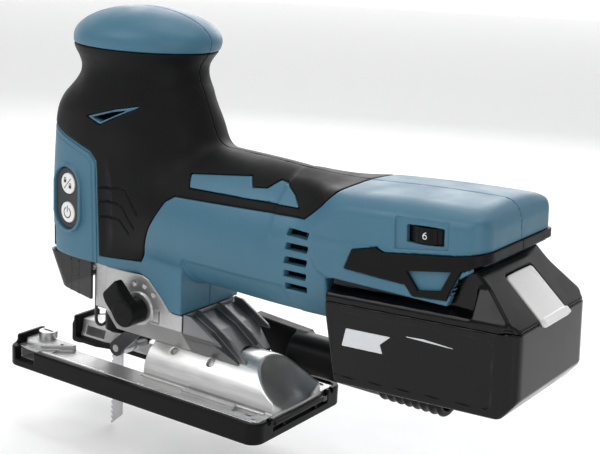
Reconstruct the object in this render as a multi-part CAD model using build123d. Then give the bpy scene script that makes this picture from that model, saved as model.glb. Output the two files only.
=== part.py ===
"""Cordless barrel-grip jigsaw, built as its separate pieces.

Millimetres, +Z up. +X runs from the blade back to the battery, and the tool's
left side is -Y. The origin is where the plunger's axis meets the sole plane.
"""
from build123d import *
from math import atan2, cos, degrees, pi, radians, sin
import os

# ---- driving dimensions -------------------------------------------------
GAP = 0.05                # assembly gap between the two clamshell halves
WALL = 2.6                # moulded wall behind the outer skin
SKIN = 2.0                # thickness of the elastomer grip skin
MOTOR_Z = 101.8           # height of the motor axis above the sole
GEAR_Z = 85.0             # height of the crank gear's axis
CRANK_R = 13.0            # crank radius: half of the 26 mm stroke
STROKE = 2 * CRANK_R
GEAR_MODULE = 0.7
GEAR_TEETH = 40
PINION_TEETH = 8
ROD_R = 5.0               # plunger rod radius
RUN = 0.05                # radial running clearance of shafts and bushes

BASE_FRONT, BASE_REAR = -45.0, 118.0
BASE_HALF = 33.5          # half-width of the cast base plate
SHOE_HALF = 38.5          # half-width over the plastic shoe cover
SHOE_FRONT, SHOE_REAR = -48.0, 121.0
SOLE_T = 2.8              # thickness of the shoe cover's sole
PLATE_TOP = 10.5
HUMP_R = 20.9             # radius of the base's saddle
HUMP_Z = 11.0             # height of the saddle's axis, which is the bevel axis
HUMP_FRONT, HUMP_REAR = 35.0, 98.0
FOOT_R = HUMP_R + 0.35    # concave foot of the gear housing over the saddle
SLOT_HALF = 11.0          # half-width of the slot between the two prongs
POCKET_HALF = 16.0
POCKET_REAR = 35.0

GEARBOX_HALF = 22.5       # half-width of the cast gear housing
DIAL = (204.8, -23.4)     # x and y of the speed dial's axis on the level deck
DIAL_R = 11.6
DIAL_Z = (116.6, 123.4)    # thickness of the dial on the level deck
BAY_HALF = 31.0           # half-width of the bay that the battery slides into
BATTERY_TILT = 3.2        # degrees, the battery deck rises to the rear
BATTERY_HALF = 37.5
BATTERY_BOTTOM, BATTERY_SEAM, BATTERY_TOP = 46.5, 79.0, 106.0
BATTERY_FRONT, BATTERY_BACK = 156.0, 250.5
TILT_PIVOT = (200.0, 0.0, 47.0)

ROLLER = (6.9, 15.0)      # x and z of the guide roller's axis
ROLLER_R = 4.5
FORK_PIVOT = (24.0, 33.0)
LEVER = (32.5, 46.0)      # x and z of the orbital lever's axis
DETENTS = (-45.0, -15.0, 15.0, 45.0)
DETENT_R = 12.5

PIECES = {}


# ---- small helpers ------------------------------------------------------
def block(x, y, z):
    """Box from three (low, high) pairs."""
    centre = [(lo + hi) / 2 for lo, hi in (x, y, z)]
    size = [hi - lo for lo, hi in (x, y, z)]
    return Pos(*centre) * Box(*size)


def rod_x(x, y, z, r):
    return Pos((x[0] + x[1]) / 2, y, z) * Rot(0, 90, 0) * Cylinder(r, x[1] - x[0])


def rod_y(x, y, z, r):
    return Pos(x, (y[0] + y[1]) / 2, z) * Rot(90, 0, 0) * Cylinder(r, y[1] - y[0])


def rod_z(x, y, z, r):
    return Pos(x, y, (z[0] + z[1]) / 2) * Cylinder(r, z[1] - z[0])


def side_prism(points, half):
    """Outline given as (x, z) points, extruded to both sides by half."""
    outline = Polyline(*[(x, 0, z) for x, z in points], close=True)
    return extrude(make_face(outline), amount=half, dir=(0, 1, 0), both=True)


def cross_prism(points, x):
    """Outline given as (y, z) points, extruded along X between x[0] and x[1]."""
    outline = Polyline(*[(x[0], y, z) for y, z in points], close=True)
    return extrude(make_face(outline), amount=x[1] - x[0], dir=(1, 0, 0))


def oval(a, b, power, count=20):
    """Closed smooth curve |x/a|^power + |y/b|^power = 1, as plain coordinates."""
    points = []
    for i in range(count):
        angle = 2 * pi * i / count
        c, s = cos(angle), sin(angle)
        points.append((a * abs(c) ** (2 / power) * (1 if c >= 0 else -1),
                       b * abs(s) ** (2 / power) * (1 if s >= 0 else -1)))
    return points


def ring_face(points):
    return make_face(Spline(*points, periodic=True))


def on_deck(shape):
    """Turn a shape drawn level onto the battery deck, which rises to the rear."""
    there, back = Pos(*TILT_PIVOT), Pos(*[-value for value in TILT_PIVOT])
    return there * Rot(0, -BATTERY_TILT, 0) * back * shape


def solid_list(shape):
    """The separate solids of a shape, biggest first, without slivers."""
    solids = sorted(shape.solids(), key=lambda one: -one.volume)
    return [one for one in solids if one.volume > 0.5]


def keep(name, shape):
    solids = solid_list(shape)
    PIECES[name] = solids[0] if len(solids) == 1 else Compound(children=solids)


# ---- outer form ---------------------------------------------------------
# Head sections: height, centre x, half-length, half-width, squareness.
HEAD = (
    (65.0, 4.0, 42.0, 26.0, 3.0),
    (100.0, 4.2, 42.2, 27.5, 3.0),
    (128.0, 5.5, 43.5, 29.0, 2.8),
    (141.7, 9.0, 46.5, 30.0, 2.3),
    (150.2, 10.7, 44.5, 30.0, 2.1),
    (158.9, 13.6, 38.6, 28.7, 2.0),
    (167.0, 13.4, 35.6, 27.8, 2.0),
    (175.0, 12.6, 39.2, 30.4, 2.0),
    (181.5, 14.5, 41.3, 32.0, 2.0),
    (187.7, 15.6, 38.4, 29.8, 2.0),
    (192.5, 15.6, 32.0, 24.8, 2.0),
    (196.2, 15.0, 20.5, 16.0, 2.0),
    (198.0, 14.6, 5.0, 4.0, 2.0),
)
DECK_HALF, DECK_REAR = 35.5, 233.0
# Level outline of the battery bay's side walls.
LIP_OUTLINE = [(152, 97), (155, 94.6), (216.5, 91.1), (220.8, 103.0), (226.5, 106.6), (226.5, 109), (152, 109)]
# Outline of the rubber band round the deck, and of the flat left in it.
BAND_OUTLINE = [(162.5, 98.2), (166, 107.4), (178, 110.6), (182, 109.2), (217, 114.3), (234, 118.4),
                (240, 119.8), (240, 115.8), (232.6, 114.2), (219.5, 108.6), (213.5, 94.8),
                (197.5, 93.2), (193.5, 97.6)]
BAND_FLAT = [(194, 103.6), (215, 107.4), (210.8, 98.2), (200.2, 96.2)]
# Barrel sections: x, centre height, half-width, half-height.
BARREL = (
    (20.0, 99.0, 30.0, 33.0),
    (48.0, 98.4, 33.0, 35.4),
    (80.0, 97.6, 33.5, 35.5),
    (112.0, 96.6, 33.2, 35.0),
    (140.0, 95.2, 32.0, 33.2),
    (151.0, 94.5, 31.0, 31.5),
)


def head_form(inset):
    sections = []
    for z, cx, a, b, power in HEAD:
        if min(a, b) - inset < 2.0:
            continue
        lift = -inset if z > 181 else 0.0
        outline = [(cx + x, y, z + lift) for x, y in oval(a - inset, b - inset, power)]
        sections.append(ring_face(outline))
    return loft(sections, ruled=True)


def barrel_form(inset):
    sections = []
    for x, zc, w, h in BARREL:
        step = inset * ((x == BARREL[0][0]) - (x == BARREL[-1][0]))
        outline = [(x + step, y, zc + z) for y, z in oval(w - inset, h - inset, 2.0)]
        sections.append(ring_face(outline))
    return loft(sections, ruled=True)


def deck_plan(inset, x_rear, corner, z):
    """Level block over the deck's plan, with rounded rear corners."""
    half = DECK_HALF - inset
    plan = block((136.0, x_rear - inset), (-half, half), z)
    return fillet(plan.edges().filter_by(Axis.Z).group_by(Axis.X)[-1], corner)


def deck_form(inset):
    """Battery holder: a block with chamfered top edges and rounded rear corners."""
    half, low, high = DECK_HALF - inset, 107.5, 134.5 - inset
    cut = 8.0
    section = cross_prism([(-half, low), (half, low), (half, high - cut * 0.8),
                           (half - cut, high), (cut - half, high), (-half, high - cut * 0.8)],
                          (136.0, 233.0 - inset))
    return on_deck(section & deck_plan(inset, DECK_REAR, 14.0, (90, 140)))


def lip_form():
    """Side walls of the battery bay, with the rails that hold the battery."""
    sides = side_prism(LIP_OUTLINE, DECK_HALF) & deck_plan(0, DECK_REAR, 14.0, (80, 140))
    sides = sides - block((152.5, 240), (-BAY_HALF, BAY_HALF), (80, 114.5))
    for side in (-1, 1):
        sides = sides + block((154, 215), sorted((side * 28.2, side * 31.5)), (96.6, 98.6))
    return on_deck(sides)


def skirt_form(inset):
    """Lower box of the clamshell, which grips the gear housing."""
    half = 24.0 - inset
    outline = [(31, 66.5), (39, 63.5), (47.5, 55.5), (53.5, 49), (61 - inset, 49),
               (61 - inset, 90), (31, 90)]
    return side_prism(outline, half)


def outer_form(inset):
    form = head_form(inset) + barrel_form(inset)
    return form + deck_form(inset)


# Clamshell screws in the right half: x, z and the y of the head's seat.
SCREWS = ((22, 160, 26.6), (53.5, 84, 28.5), (112, 72, 17.0), (158, 124, 32.0), (146, 84, 24.0))
# Outline of the elastomer grip in side view.
GRIP_OUTLINE = [(6, 64), (38.3, 64), (38.3, 73), (41, 83), (46, 93), (57, 109.5), (62, 112.5),
                (135.8, 114.2), (152, 131), (158, 150), (110, 172), (70, 177), (-60, 177),
                (-60, 140), (-37, 136), (0, 126), (6, 120)]
# Outline of the nose panel in side view.
PANEL_OUTLINE = [(-60, 60), (5.4, 60), (5.4, 119.6), (-0.3, 125.2), (-37, 135.2), (-60, 139.4)]
# Outlines of the two trims let into the grip on each side.
AIR_TRIM = [(1.5, 143), (33, 152), (10, 140)]
STRIPE_TRIM = [(66, 123), (99, 127), (103, 122.5), (110, 123.3), (115, 127.5), (131, 118.2),
               (69, 116.4)]


def make_clamshell():
    """Both halves of the clamshell, its grip skin, trims and the nose panel."""
    far = 400.0
    half = block((-far, far), (-far, 0), (-far, far))
    left = block((-far, far), (-far, -GAP), (-far, far))
    outer = outer_form(0) & half
    middle = outer_form(SKIN) & half
    inner = outer_form(SKIN + WALL) & half
    grip_prism = side_prism(GRIP_OUTLINE, 60)
    panel_prism = side_prism(PANEL_OUTLINE, 60)
    trim_prism = side_prism(AIR_TRIM, 60) + side_prism(STRIPE_TRIM, 60)
    mouth = block((-34, 50), (-21.2, 21.2), (58, 79)) + block((8, 59), (-18, 18), (45, 66.4))
    grip = ((outer & grip_prism) - middle) - trim_prism - mouth
    trims = (outer & trim_prism) - middle
    nose = (outer & panel_prism) - middle
    shell = outer - (grip_prism + panel_prism)
    shell = (shell + (middle & (grip_prism + panel_prism))) - inner
    skirt = (skirt_form(0) & half) - skirt_form(WALL) - inner
    shell = shell + (skirt - grip_prism)
    battery_bay = on_deck(block((152.5, 240), (-BAY_HALF, BAY_HALF), (80, 114.5)))
    shell = (shell - mouth - battery_bay) + (lip_form() & half)
    for row in range(5):
        z = 107.5 - 6.6 * row
        shell = shell - block((129.5, 141.0), (-40, -22), (z - 1.6, z + 1.6))
    seat = pad_form(-1, PAD_HALF_W + 0.05, PAD_HALF_H + 0.05, (-12, 12))
    shell = (shell - seat) & left
    for x, z, y in SCREWS:
        shell = shell + rod_y(x, (3.0 - y, -GAP), z, 4.6)
    span = (DIAL_Z[0] - 0.6, DIAL_Z[1] + 0.6)
    dial_bay = rod_z(DIAL[0], DIAL[1], span, DIAL_R + 0.6)
    dial_bay = dial_bay + block((195.8, 213.8), (-40, -31.0), span)
    keep("housing_left", shell - on_deck(dial_bay))
    mirrored = mirror(shell, Plane.XZ)
    grip_right = mirror(grip & left, Plane.XZ)
    for x, z, y in SCREWS:
        recess = rod_y(x, (y - 2.55, 60), z, 3.6) + rod_y(x, (0, y), z, 2.05)
        mirrored = mirrored + rod_y(x, (y - 6.0, y - 1.5), z, 4.6)
        mirrored = mirrored - recess
        grip_right = grip_right - recess
    keep("housing_right", mirrored)
    keep("grip_cover_left", grip & left)
    keep("grip_cover_right", grip_right)
    keep("accent_trims_left", trims)
    keep("accent_trims_right", mirror(trims, Plane.XZ))
    rim = pad_form(-1, PAD_HALF_W + 2.2, PAD_HALF_H + 2.2, (-PAD_RIM, 1.5))
    panel = (nose + (rim - middle)) - seat
    keep("nose_panel", panel + mirror(panel, Plane.XZ))


# ---- switch pads on the nose --------------------------------------------
PAD = (-14.5, 26.0, 97.0)  # x, distance from the centreplane and z of the pad's centre
PAD_HALF_W, PAD_HALF_H = 9.5, 16.5
PAD_TURN = 8.5            # the pads face outwards and this far to the front
PAD_RIM = 1.6             # how far the panel's rim stands out around the pad
BUTTON_R = 5.6
BUTTON_STEP = 7.7


def on_pad(side, shape):
    """Place a shape drawn about the pad's centre on the left (-1) or right (1) side."""
    placed = Pos(PAD[0], -PAD[1], PAD[2]) * Rot(0, 0, -PAD_TURN) * shape
    return placed if side < 0 else mirror(placed, Plane.XZ)


def pad_form(side, half_w, half_h, y):
    """Oval prism along the pad's own Y, which points into the tool on the left."""
    reach = half_h - half_w
    ends = rod_y(0, y, reach, half_w) + rod_y(0, y, -reach, half_w)
    return on_pad(side, ends + block((-half_w, half_w), y, (-reach, reach)))


def make_switches():
    for side, word in ((-1, "left"), (1, "right")):
        pad = pad_form(side, PAD_HALF_W, PAD_HALF_H, (-0.4, 4.6))
        for step, kind in ((1, "lock_button"), (-1, "power_button")):
            z = step * BUTTON_STEP
            pad = pad - on_pad(side, rod_y(0, (-5, 3.6), z, BUTTON_R + 0.25))
            button = rod_y(0, (-0.9, 2.6), z, BUTTON_R)
            button = fillet(button.edges().group_by(Axis.Y)[0], 0.5)
            keep(f"{kind}_{word}", on_pad(side, button))
        keep("switch_pad_" + word, pad)


# ---- gear housing -------------------------------------------------------
CASE_X = (-19.0, 33.0)
CASE_HALF = 18.5
CASE_Z = (59.5, 127.0)
BUSH_LOW, BUSH_HIGH = (59.9, 67.0), (115.0, 123.0)


def make_gear_housing():
    side = side_prism([(9, 26), (9, 64.6), (34.7, 64.6), (38.6, 63), (47, 55.2), (53.3, 48.7),
                       (60.8, 48.7), (60.8, 26)], 40)
    flanks = [(-13, 26), (-GEARBOX_HALF, 39.5), (-GEARBOX_HALF, 64.6), (GEARBOX_HALF, 64.6),
              (GEARBOX_HALF, 39.5), (13, 26)]
    body = side & cross_prism(flanks, (0, 70))
    tongue = block((20.0, 57.8), (-17.0, 17.0), (45, 66.3))
    case = block(CASE_X, (-CASE_HALF, CASE_HALF), CASE_Z)
    case = case + block((CASE_X[1] - 1, 48), (-15, 15), (CASE_Z[0], 120))
    cavity = block((-16, 30), (-15.5, 15.5), (67.2, 124.0)) + block((29, 45), (-12, 12), (72, 117))
    body = body + tongue + case - cavity
    body = body - rod_x((0, 70), 0, HUMP_Z, FOOT_R)
    body = body - block((8, 31), (-12.2, 12.2), (20, 50))
    body = body - block((-25, 8.9), (-30, 30), (20, CASE_Z[0]))
    for z in (BUSH_LOW, BUSH_HIGH):
        body = body - rod_z(0, 0, (z[0] - 1, z[1] + 4.5), 8.0)
    body = body - rod_z(0, 0, (50, 130), ROD_R + 0.4)
    body = body - rod_x((40, 50), 0, MOTOR_Z, 10.0)
    body = body - rod_y(LEVER[0], (-30, 0), LEVER[1], 3.05)
    for angle in DETENTS[1:]:
        x = LEVER[0] + DETENT_R * sin(radians(angle))
        z = LEVER[1] + DETENT_R * cos(radians(angle))
        body = body - Pos(x, -GEARBOX_HALF, z) * Sphere(1.7)
    body = body - rod_y(FORK_PIVOT[0], (-15, 15), FORK_PIVOT[1], 2.05)
    keep("gear_housing", body)


RIBS = (-21.0, -11.5, 6.0, 21.0)


def make_rear_bracket():
    """Ribbed casting that closes the gear housing and runs down the saddle."""
    web = [(61, 26), (61, 47), (90, 29.5), (93, 26)]
    rib = [(61, 26), (61, 48.9), (83, 38.5), (94, 29.5), (94, 26)]
    bracket = side_prism(web, 20)
    for y in RIBS:
        bracket = bracket + Pos(0, y, 0) * side_prism(rib, 1.0)
    flanks = [(-13, 26), (-GEARBOX_HALF, 39.5), (-GEARBOX_HALF, 60), (GEARBOX_HALF, 60),
              (GEARBOX_HALF, 39.5), (13, 26)]
    bracket = bracket & cross_prism(flanks, (50, 120))
    bracket = bracket - rod_x((50, 120), 0, HUMP_Z, FOOT_R)
    keep("rear_bracket", bracket)


# ---- drive train --------------------------------------------------------
def spur(teeth, width, bore, phase):
    """Straight-toothed gear about X with tapered teeth and running backlash."""
    pitch_r = GEAR_MODULE * teeth / 2
    root_r, tip_r = pitch_r - 1.15 * GEAR_MODULE, pitch_r + 0.6 * GEAR_MODULE
    outline = []
    for i in range(teeth):
        centre = 360 / teeth * i + phase
        for radius, share in ((root_r, -0.29), (tip_r, -0.09), (tip_r, 0.09), (root_r, 0.29)):
            angle = radians(centre + share * 360 / teeth)
            outline.append((0, radius * cos(angle), radius * sin(angle)))
    face = make_face(Polyline(*outline, close=True))
    gear = extrude(face, amount=width / 2, dir=(1, 0, 0), both=True)
    return gear - rod_x((-width, width), 0, 0, bore) if bore else gear


def make_drive():
    # The crank gear has a tooth on the line of centres; the pinion has a gap there.
    gear = Pos(23, 0, GEAR_Z) * spur(GEAR_TEETH, 6, 0, 90)
    disc = rod_x((15.6, 20.0), 0, GEAR_Z, 15.4) - rod_x((15.0, 17.0), 0, GEAR_Z, 9.0)
    pin = rod_x((13.6, 16.0), 0, GEAR_Z - CRANK_R, 2.3)
    keep("crank_gear", gear + disc + pin)
    keep("gear_shaft", rod_x((26.05, 44.8), 0, GEAR_Z, 4.0))
    pinion = Pos(23, 0, MOTOR_Z) * spur(PINION_TEETH, 5.5, 0, 90 + 180 / PINION_TEETH)
    shaft = rod_x((26.3, 128), 0, MOTOR_Z, 2.5) + rod_x((52, 60), 0, MOTOR_Z, 4.0)
    shaft = shaft + rod_x((25.5, 26.5), 0, MOTOR_Z, 1.9)
    keep("rotor_shaft", pinion + shaft)
    keep("rotor", rod_x((64, 94), 0, MOTOR_Z, 13.5) - rod_x((60, 100), 0, MOTOR_Z, 2.5))
    stator = rod_x((66, 92), 0, MOTOR_Z, 24.5) - rod_x((60, 100), 0, MOTOR_Z, 21.0)
    for i in range(6):
        pole = block((66, 92), (-3, 3), (14.0, 22.0))
        shoe = block((66, 92), (-5.0, 5.0), (14.0, 15.6))
        stator = stator + Pos(0, 0, MOTOR_Z) * Rot(60 * i, 0, 0) * (pole + shoe)
    keep("stator", stator)
    coils = []
    for i in range(6):
        coil = block((62, 96), (-5.6, 5.6), (15.9, 20.0)) - block((65.8, 92.2), (-3.1, 3.1), (0, 30))
        coils.append(Pos(0, 0, MOTOR_Z) * Rot(60 * i, 0, 0) * coil)
    keep("stator_coils", Compound(children=coils))
    fan = rod_x((101, 103), 0, MOTOR_Z, 22.0)
    for i in range(12):
        blade = block((102.5, 110), (-0.6, 0.6), (8, 21.5))
        fan = fan + Pos(0, 0, MOTOR_Z) * Rot(30 * i, 0, 0) * blade
    fan = fan + rod_x((101, 111), 0, MOTOR_Z, 6.0) - rod_x((100, 112), 0, MOTOR_Z, 2.5)
    keep("fan", fan)
    for name, x, r in (("front_bearing", (45.0, 51.0), 9.9), ("rear_bearing", (118.0, 124.0), 9.0)):
        keep(name, rod_x(x, 0, MOTOR_Z, r) - rod_x((x[0] - 1, x[1] + 1), 0, MOTOR_Z, 2.5 + RUN))
    holder = block((118.5, 123.5), (-26, 26), (MOTOR_Z - 20, MOTOR_Z + 17))
    holder = holder - rod_x((110, 130), 0, MOTOR_Z, 9.05)
    keep("bearing_holder", holder & barrel_form(SKIN + WALL + 0.05))


def make_plunger():
    keep("plunger_rod", rod_z(0, 0, (33.0, 127.0), ROD_R))
    yoke = block((-8.5, 12.5), (-8.5, 8.5), (68.2, 75.8)) + block((7.0, 12.5), (-15, 15), (67.8, 76.2))
    yoke = yoke - rod_z(0, 0, (60, 90), ROD_R)
    yoke = yoke - block((9.0, 20), (-13, 13), (69.5, 74.5))
    keep("plunger_yoke", yoke)
    for name, z in (("lower_bush", BUSH_LOW), ("upper_bush", BUSH_HIGH)):
        keep(name, rod_z(0, 0, z, 7.95) - rod_z(0, 0, (z[0] - 1, z[1] + 1), ROD_R + RUN))
    weight = block((-15.6, -9.2), (-13, 13), (97, 121)) - rod_z(-9.0, 0, (90, 130), 3.0)
    keep("counterweight", weight)
    clamp = rod_z(0, 0, (21.0, 33.0), 6.2)
    clamp = clamp - block((-4.2, 2.4), (-0.75, 0.75), (20, 32))
    clamp = clamp - rod_z(0, 0, (31.9, 34), 3.0) + rod_z(0, 0, (31.9, 33.0), 3.0)
    keep("blade_clamp", clamp)
    sleeve = rod_z(0, 0, (22.5, 31.5), 8.4) - rod_z(0, 0, (20, 34), 6.25)
    wing = block((-11.0, -7.0), (2.5, 5.5), (24, 30))
    keep("clamp_sleeve", sleeve + wing - rod_z(0, 0, (20, 34), 6.25))
    keep("blade", make_blade())


BLADE_BACK, BLADE_TOOTH = 2.0, -5.8
BLADE_TIP = -35.5
TOOTH_PITCH = 3.0


def make_blade():
    """Sawblade with its teeth forward and a slanted tip."""
    points = [(BLADE_BACK, 14.0), (BLADE_BACK, BLADE_TIP + 7.0), (BLADE_TOOTH + 0.6, BLADE_TIP)]
    z = BLADE_TIP + 1.0
    while z < 12.0:
        points += [(BLADE_TOOTH, z + 0.4), (BLADE_TOOTH + 1.5, z + 0.9)]
        z += TOOTH_PITCH
    points += [(BLADE_TOOTH + 0.6, 15.0), (-3.4, 17.5), (-3.4, 30.5), (1.6, 30.5), (1.6, 17.5)]
    return side_prism(points, 0.6)


def make_orbital():
    pin = rod_y(ROLLER[0], (-11.6, 11.6), ROLLER[1], 2.0)
    keep("roller_pin", pin)
    roller = rod_y(ROLLER[0], (-9.6, 9.6), ROLLER[1], ROLLER_R)
    groove = rod_y(ROLLER[0], (-1.2, 1.2), ROLLER[1], ROLLER_R + 1)
    roller = roller - (groove - rod_y(ROLLER[0], (-2, 2), ROLLER[1], ROLLER_R - 0.9))
    keep("guide_roller", roller - rod_y(ROLLER[0], (-20, 20), ROLLER[1], 2.0 + RUN))
    arm = [(ROLLER[0] + 1.2, ROLLER[1] - 4.0), (FORK_PIVOT[0] + 3.0, FORK_PIVOT[1] - 3.6),
           (FORK_PIVOT[0] + 1.5, FORK_PIVOT[1] + 3.6), (ROLLER[0] - 2.2, ROLLER[1] + 4.0)]
    plate = side_prism(arm, 0.75)
    eye = rod_y(ROLLER[0], (-0.75, 0.75), ROLLER[1], 4.3)
    knee = rod_y(FORK_PIVOT[0], (-0.75, 0.75), FORK_PIVOT[1], 4.2)
    fork = block((18.5, 24), (-10.2, 10.2), (28.5, 35.5))
    for y in (-10.75, 10.75):
        fork = fork + Pos(0, y, 0) * (plate + eye + knee)
    fork = fork - rod_y(ROLLER[0], (-20, 20), ROLLER[1], 2.0)
    fork = fork - rod_y(FORK_PIVOT[0], (-20, 20), FORK_PIVOT[1], 2.0 + RUN)
    keep("roller_fork", fork)
    keep("fork_pin", rod_y(FORK_PIVOT[0], (-15, 15), FORK_PIVOT[1], 2.0))
    x, z = LEVER
    shaft = rod_y(x, (-24.0, -13.0), z, 3.0)
    cam = rod_y(x, (-13.0, -0.5), z, 3.0)
    keep("orbital_shaft", shaft + cam)
    boss = rod_y(x, (-35.4, -23.2), z, 7.0)
    direction = Pos(x, 0, z) * Rot(0, DETENTS[0], 0)
    arm = direction * block((-6.5, 6.5), (-35.4, -28.0), (0, 16.6))
    lever = boss + arm - rod_y(x, (-24.1, -20), z, 3.0)
    keep("orbital_lever", lever)


# ---- guards at the nose -------------------------------------------------
def make_guards():
    """Smoked dust cover and the U-shaped guard strip in front of the blade."""
    outline = [(-36.1, 64.6), (-22, 36.6), (-3.0, 36.6), (-3.0, 64.6)]
    outer = side_prism(outline, 20.9)
    front = outer.edges().filter_by(lambda e: abs(e.center().Y) > 20).group_by(Axis.X)[0]
    outer = fillet(front, 7.0)
    inner = side_prism([(-33.4, 70.0), (-18.6, 36.6), (-18.6, 30), (0, 30), (0, 70.0)], 18.9)
    keep("dust_cover", outer - inner)
    legs = block((-14.3, -12.5), (-6.2, -4.2), (26, 59.4)) + block((-14.3, -12.5), (4.2, 6.2), (26, 59.4))
    ring = Pos(-13.4, 0, 26) * Rot(0, 90, 0) * (Cylinder(6.2, 1.8) - Cylinder(4.2, 3))
    legs = legs + (ring & block((-20, 0), (-10, 10), (10, 26)))
    foot = block((-14.3, -12.5), (-6.2, 6.2), (57.0, 59.45))
    keep("finger_guard", legs + foot)
    keep("lamp", rod_z(-10.0, -12.5, (56.5, 59.4), 3.0))


# ---- base ---------------------------------------------------------------
def saddle(radius, x):
    hump = rod_x(x, 0, HUMP_Z, radius)
    return hump & block((x[0] - 1, x[1] + 1), (-60, 60), (SOLE_T, 60))


def make_base():
    plate = block((BASE_FRONT, BASE_REAR), (-BASE_HALF, BASE_HALF), (SOLE_T, PLATE_TOP))
    for x, y in ((BASE_REAR, -BASE_HALF), (BASE_REAR, BASE_HALF)):
        corner = block((x - 6, x + 1), sorted((y * 1.02, y - 6 * (y / abs(y)))), (0, 20))
        corner = corner - rod_z(x - 6, y - 6 * (y / abs(y)), (0, 20), 6)
        plate = plate - corner
    base = plate + saddle(HUMP_R, (HUMP_FRONT, HUMP_REAR))
    flare = []
    for x, high, half in ((HUMP_REAR, HUMP_Z + HUMP_R, HUMP_R), (103, 24.0, 19.0),
                          (109, 18.0, 16.0), (117.9, 14.5, 12.0)):
        arc = ThreePointArc((x, -half, PLATE_TOP - 1), (x, 0, high), (x, half, PLATE_TOP - 1))
        flare.append(make_face(Curve() + [arc, Line(arc @ 1, arc @ 0)]))
    base = base + loft(flare, ruled=True)
    base = base - rod_x((HUMP_FRONT - 1, HUMP_REAR + 5), 0, HUMP_Z, HUMP_R - 3.2)
    base = base - block((HUMP_FRONT - 1, HUMP_REAR + 12), (-14, 14), (0, 8))
    base = base - block((-60, -16), (-SLOT_HALF, SLOT_HALF), (0, 30))
    base = base - block((-17, POCKET_REAR), (-POCKET_HALF, POCKET_HALF), (0, 60))
    base = base - block((-41.5, -27.5), (-60, 60), (4.2, 8.8))
    for side in (-1, 1):
        tower = block((-45, -24), sorted((side * 11.2, side * 26)), (PLATE_TOP - 1, 12.6))
        base = base + tower
        base = base - rod_z(106, side * 24.8, (0, 20), 1.6)
    base = base - rod_z(-36.5, -18.5, (8, 20), 2.5)
    slot = block((50, 86), (-4.2, 4.2), (20, 40))
    base = base - slot - block((72, 76), (-12.6, -9.8), (24, 40))
    keep("base_plate", base)

    cover = block((SHOE_FRONT, SHOE_REAR), (-SHOE_HALF, SHOE_HALF), (0, 11.0))
    upright = cover.edges().filter_by(Axis.Z)
    cover = fillet(upright, 6.5)
    cover = cover - block((BASE_FRONT - 0.05, BASE_REAR + 0.05),
                          (-BASE_HALF - 0.05, BASE_HALF + 0.05), (SOLE_T, 40))
    for side in (-1, 1):
        y = sorted((side * (SLOT_HALF + 1.0), side * 31.0))
        end = block((SHOE_FRONT, BASE_FRONT - 0.05), y, (0, 15.5))
        cover = cover + end
    cover = cover - block((-60, -16), (-SLOT_HALF - 1, SLOT_HALF + 1), (-1, 30))
    cover = cover - block((-17, POCKET_REAR), (-POCKET_HALF, POCKET_HALF), (-1, 30))
    cover = cover - block((60, 84), (-9, 9), (-1, 5))
    cover = cover - block((-41.5, -27.5), (-60, 60), (4.2, 30))
    cover = cover - block((118.0, 130), (-24, 24), (4.4, 30))
    keep("shoe_cover", cover)

    screw = rod_z(-36.5, -18.5, (9.0, 15.6), 2.45) + rod_z(-36.5, -18.5, (12.8, 16.6), 5.0)
    screw = screw - block((-40, -33), (-19.2, -17.8), (15.4, 18))
    keep("guide_screw", screw)
    bolt = rod_z(68, 0, (23.0, 29.4), 3.0) + rod_z(68, 0, (19.0, 23.0), 5.2)
    bolt = bolt - Pos(68, 0, 20) * extrude(RegularPolygon(2.6, 6), amount=3, both=True)
    keep("base_bolt", bolt)
    clamp = (rod_x((54, 82), 0, HUMP_Z, HUMP_R - 3.5) - rod_x((53, 83), 0, HUMP_Z, HUMP_R - 5.6))
    clamp = clamp & block((50, 90), (-8, 8), (22, 40)) - rod_z(68, 0, (10, 40), 3.05)
    keep("base_clamp_plate", clamp)
    keep("hex_wrench", make_wrench())


def make_wrench():
    """Hexagonal key lying in the rear pocket of the shoe cover."""
    across = 1.45
    long_arm = Rot(90, 0, 0) * extrude(RegularPolygon(across, 6), amount=21.5, both=True)
    short_arm = block((-1.3, 1.3), (20.0, 23.4), (-1.3, 1.3))
    return Pos(119.6, 0, 7.2) * (long_arm + short_arm)


def make_nozzle():
    """Dust nozzle: a duct beside the saddle that ends in a ribbed hose socket."""
    y, z = 25.5, 27.5
    tube = rod_x((99, 190), y, z, 10.5)
    for i in range(7):
        tube = tube + rod_x((156 + 4.6 * i, 158.6 + 4.6 * i), y, z, 11.8)
    duct = side_prism([(70, 30), (70, 40.5), (104, 38.0), (104, 15), (92, 15)], 4.5)
    body = tube + Pos(0, 29.5, 0) * duct
    body = body - rod_x((102, 200), y, z, 8.6)
    body = body - Pos(0, 29.5, 0) * side_prism([(66, 32), (66, 38.4), (103, 36.0), (103, 19), (95, 19)], 2.7)
    lug = block((86, 104), (26.5, 32.5), (PLATE_TOP + 0.9, 18.4))
    keep("dust_nozzle", body + lug - block((60, 130), (0, 60), (0, PLATE_TOP + 0.9)))


# ---- battery deck, electronics and battery ------------------------------
CONTACT_Y = (-9, -3, 3, 9)


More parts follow.
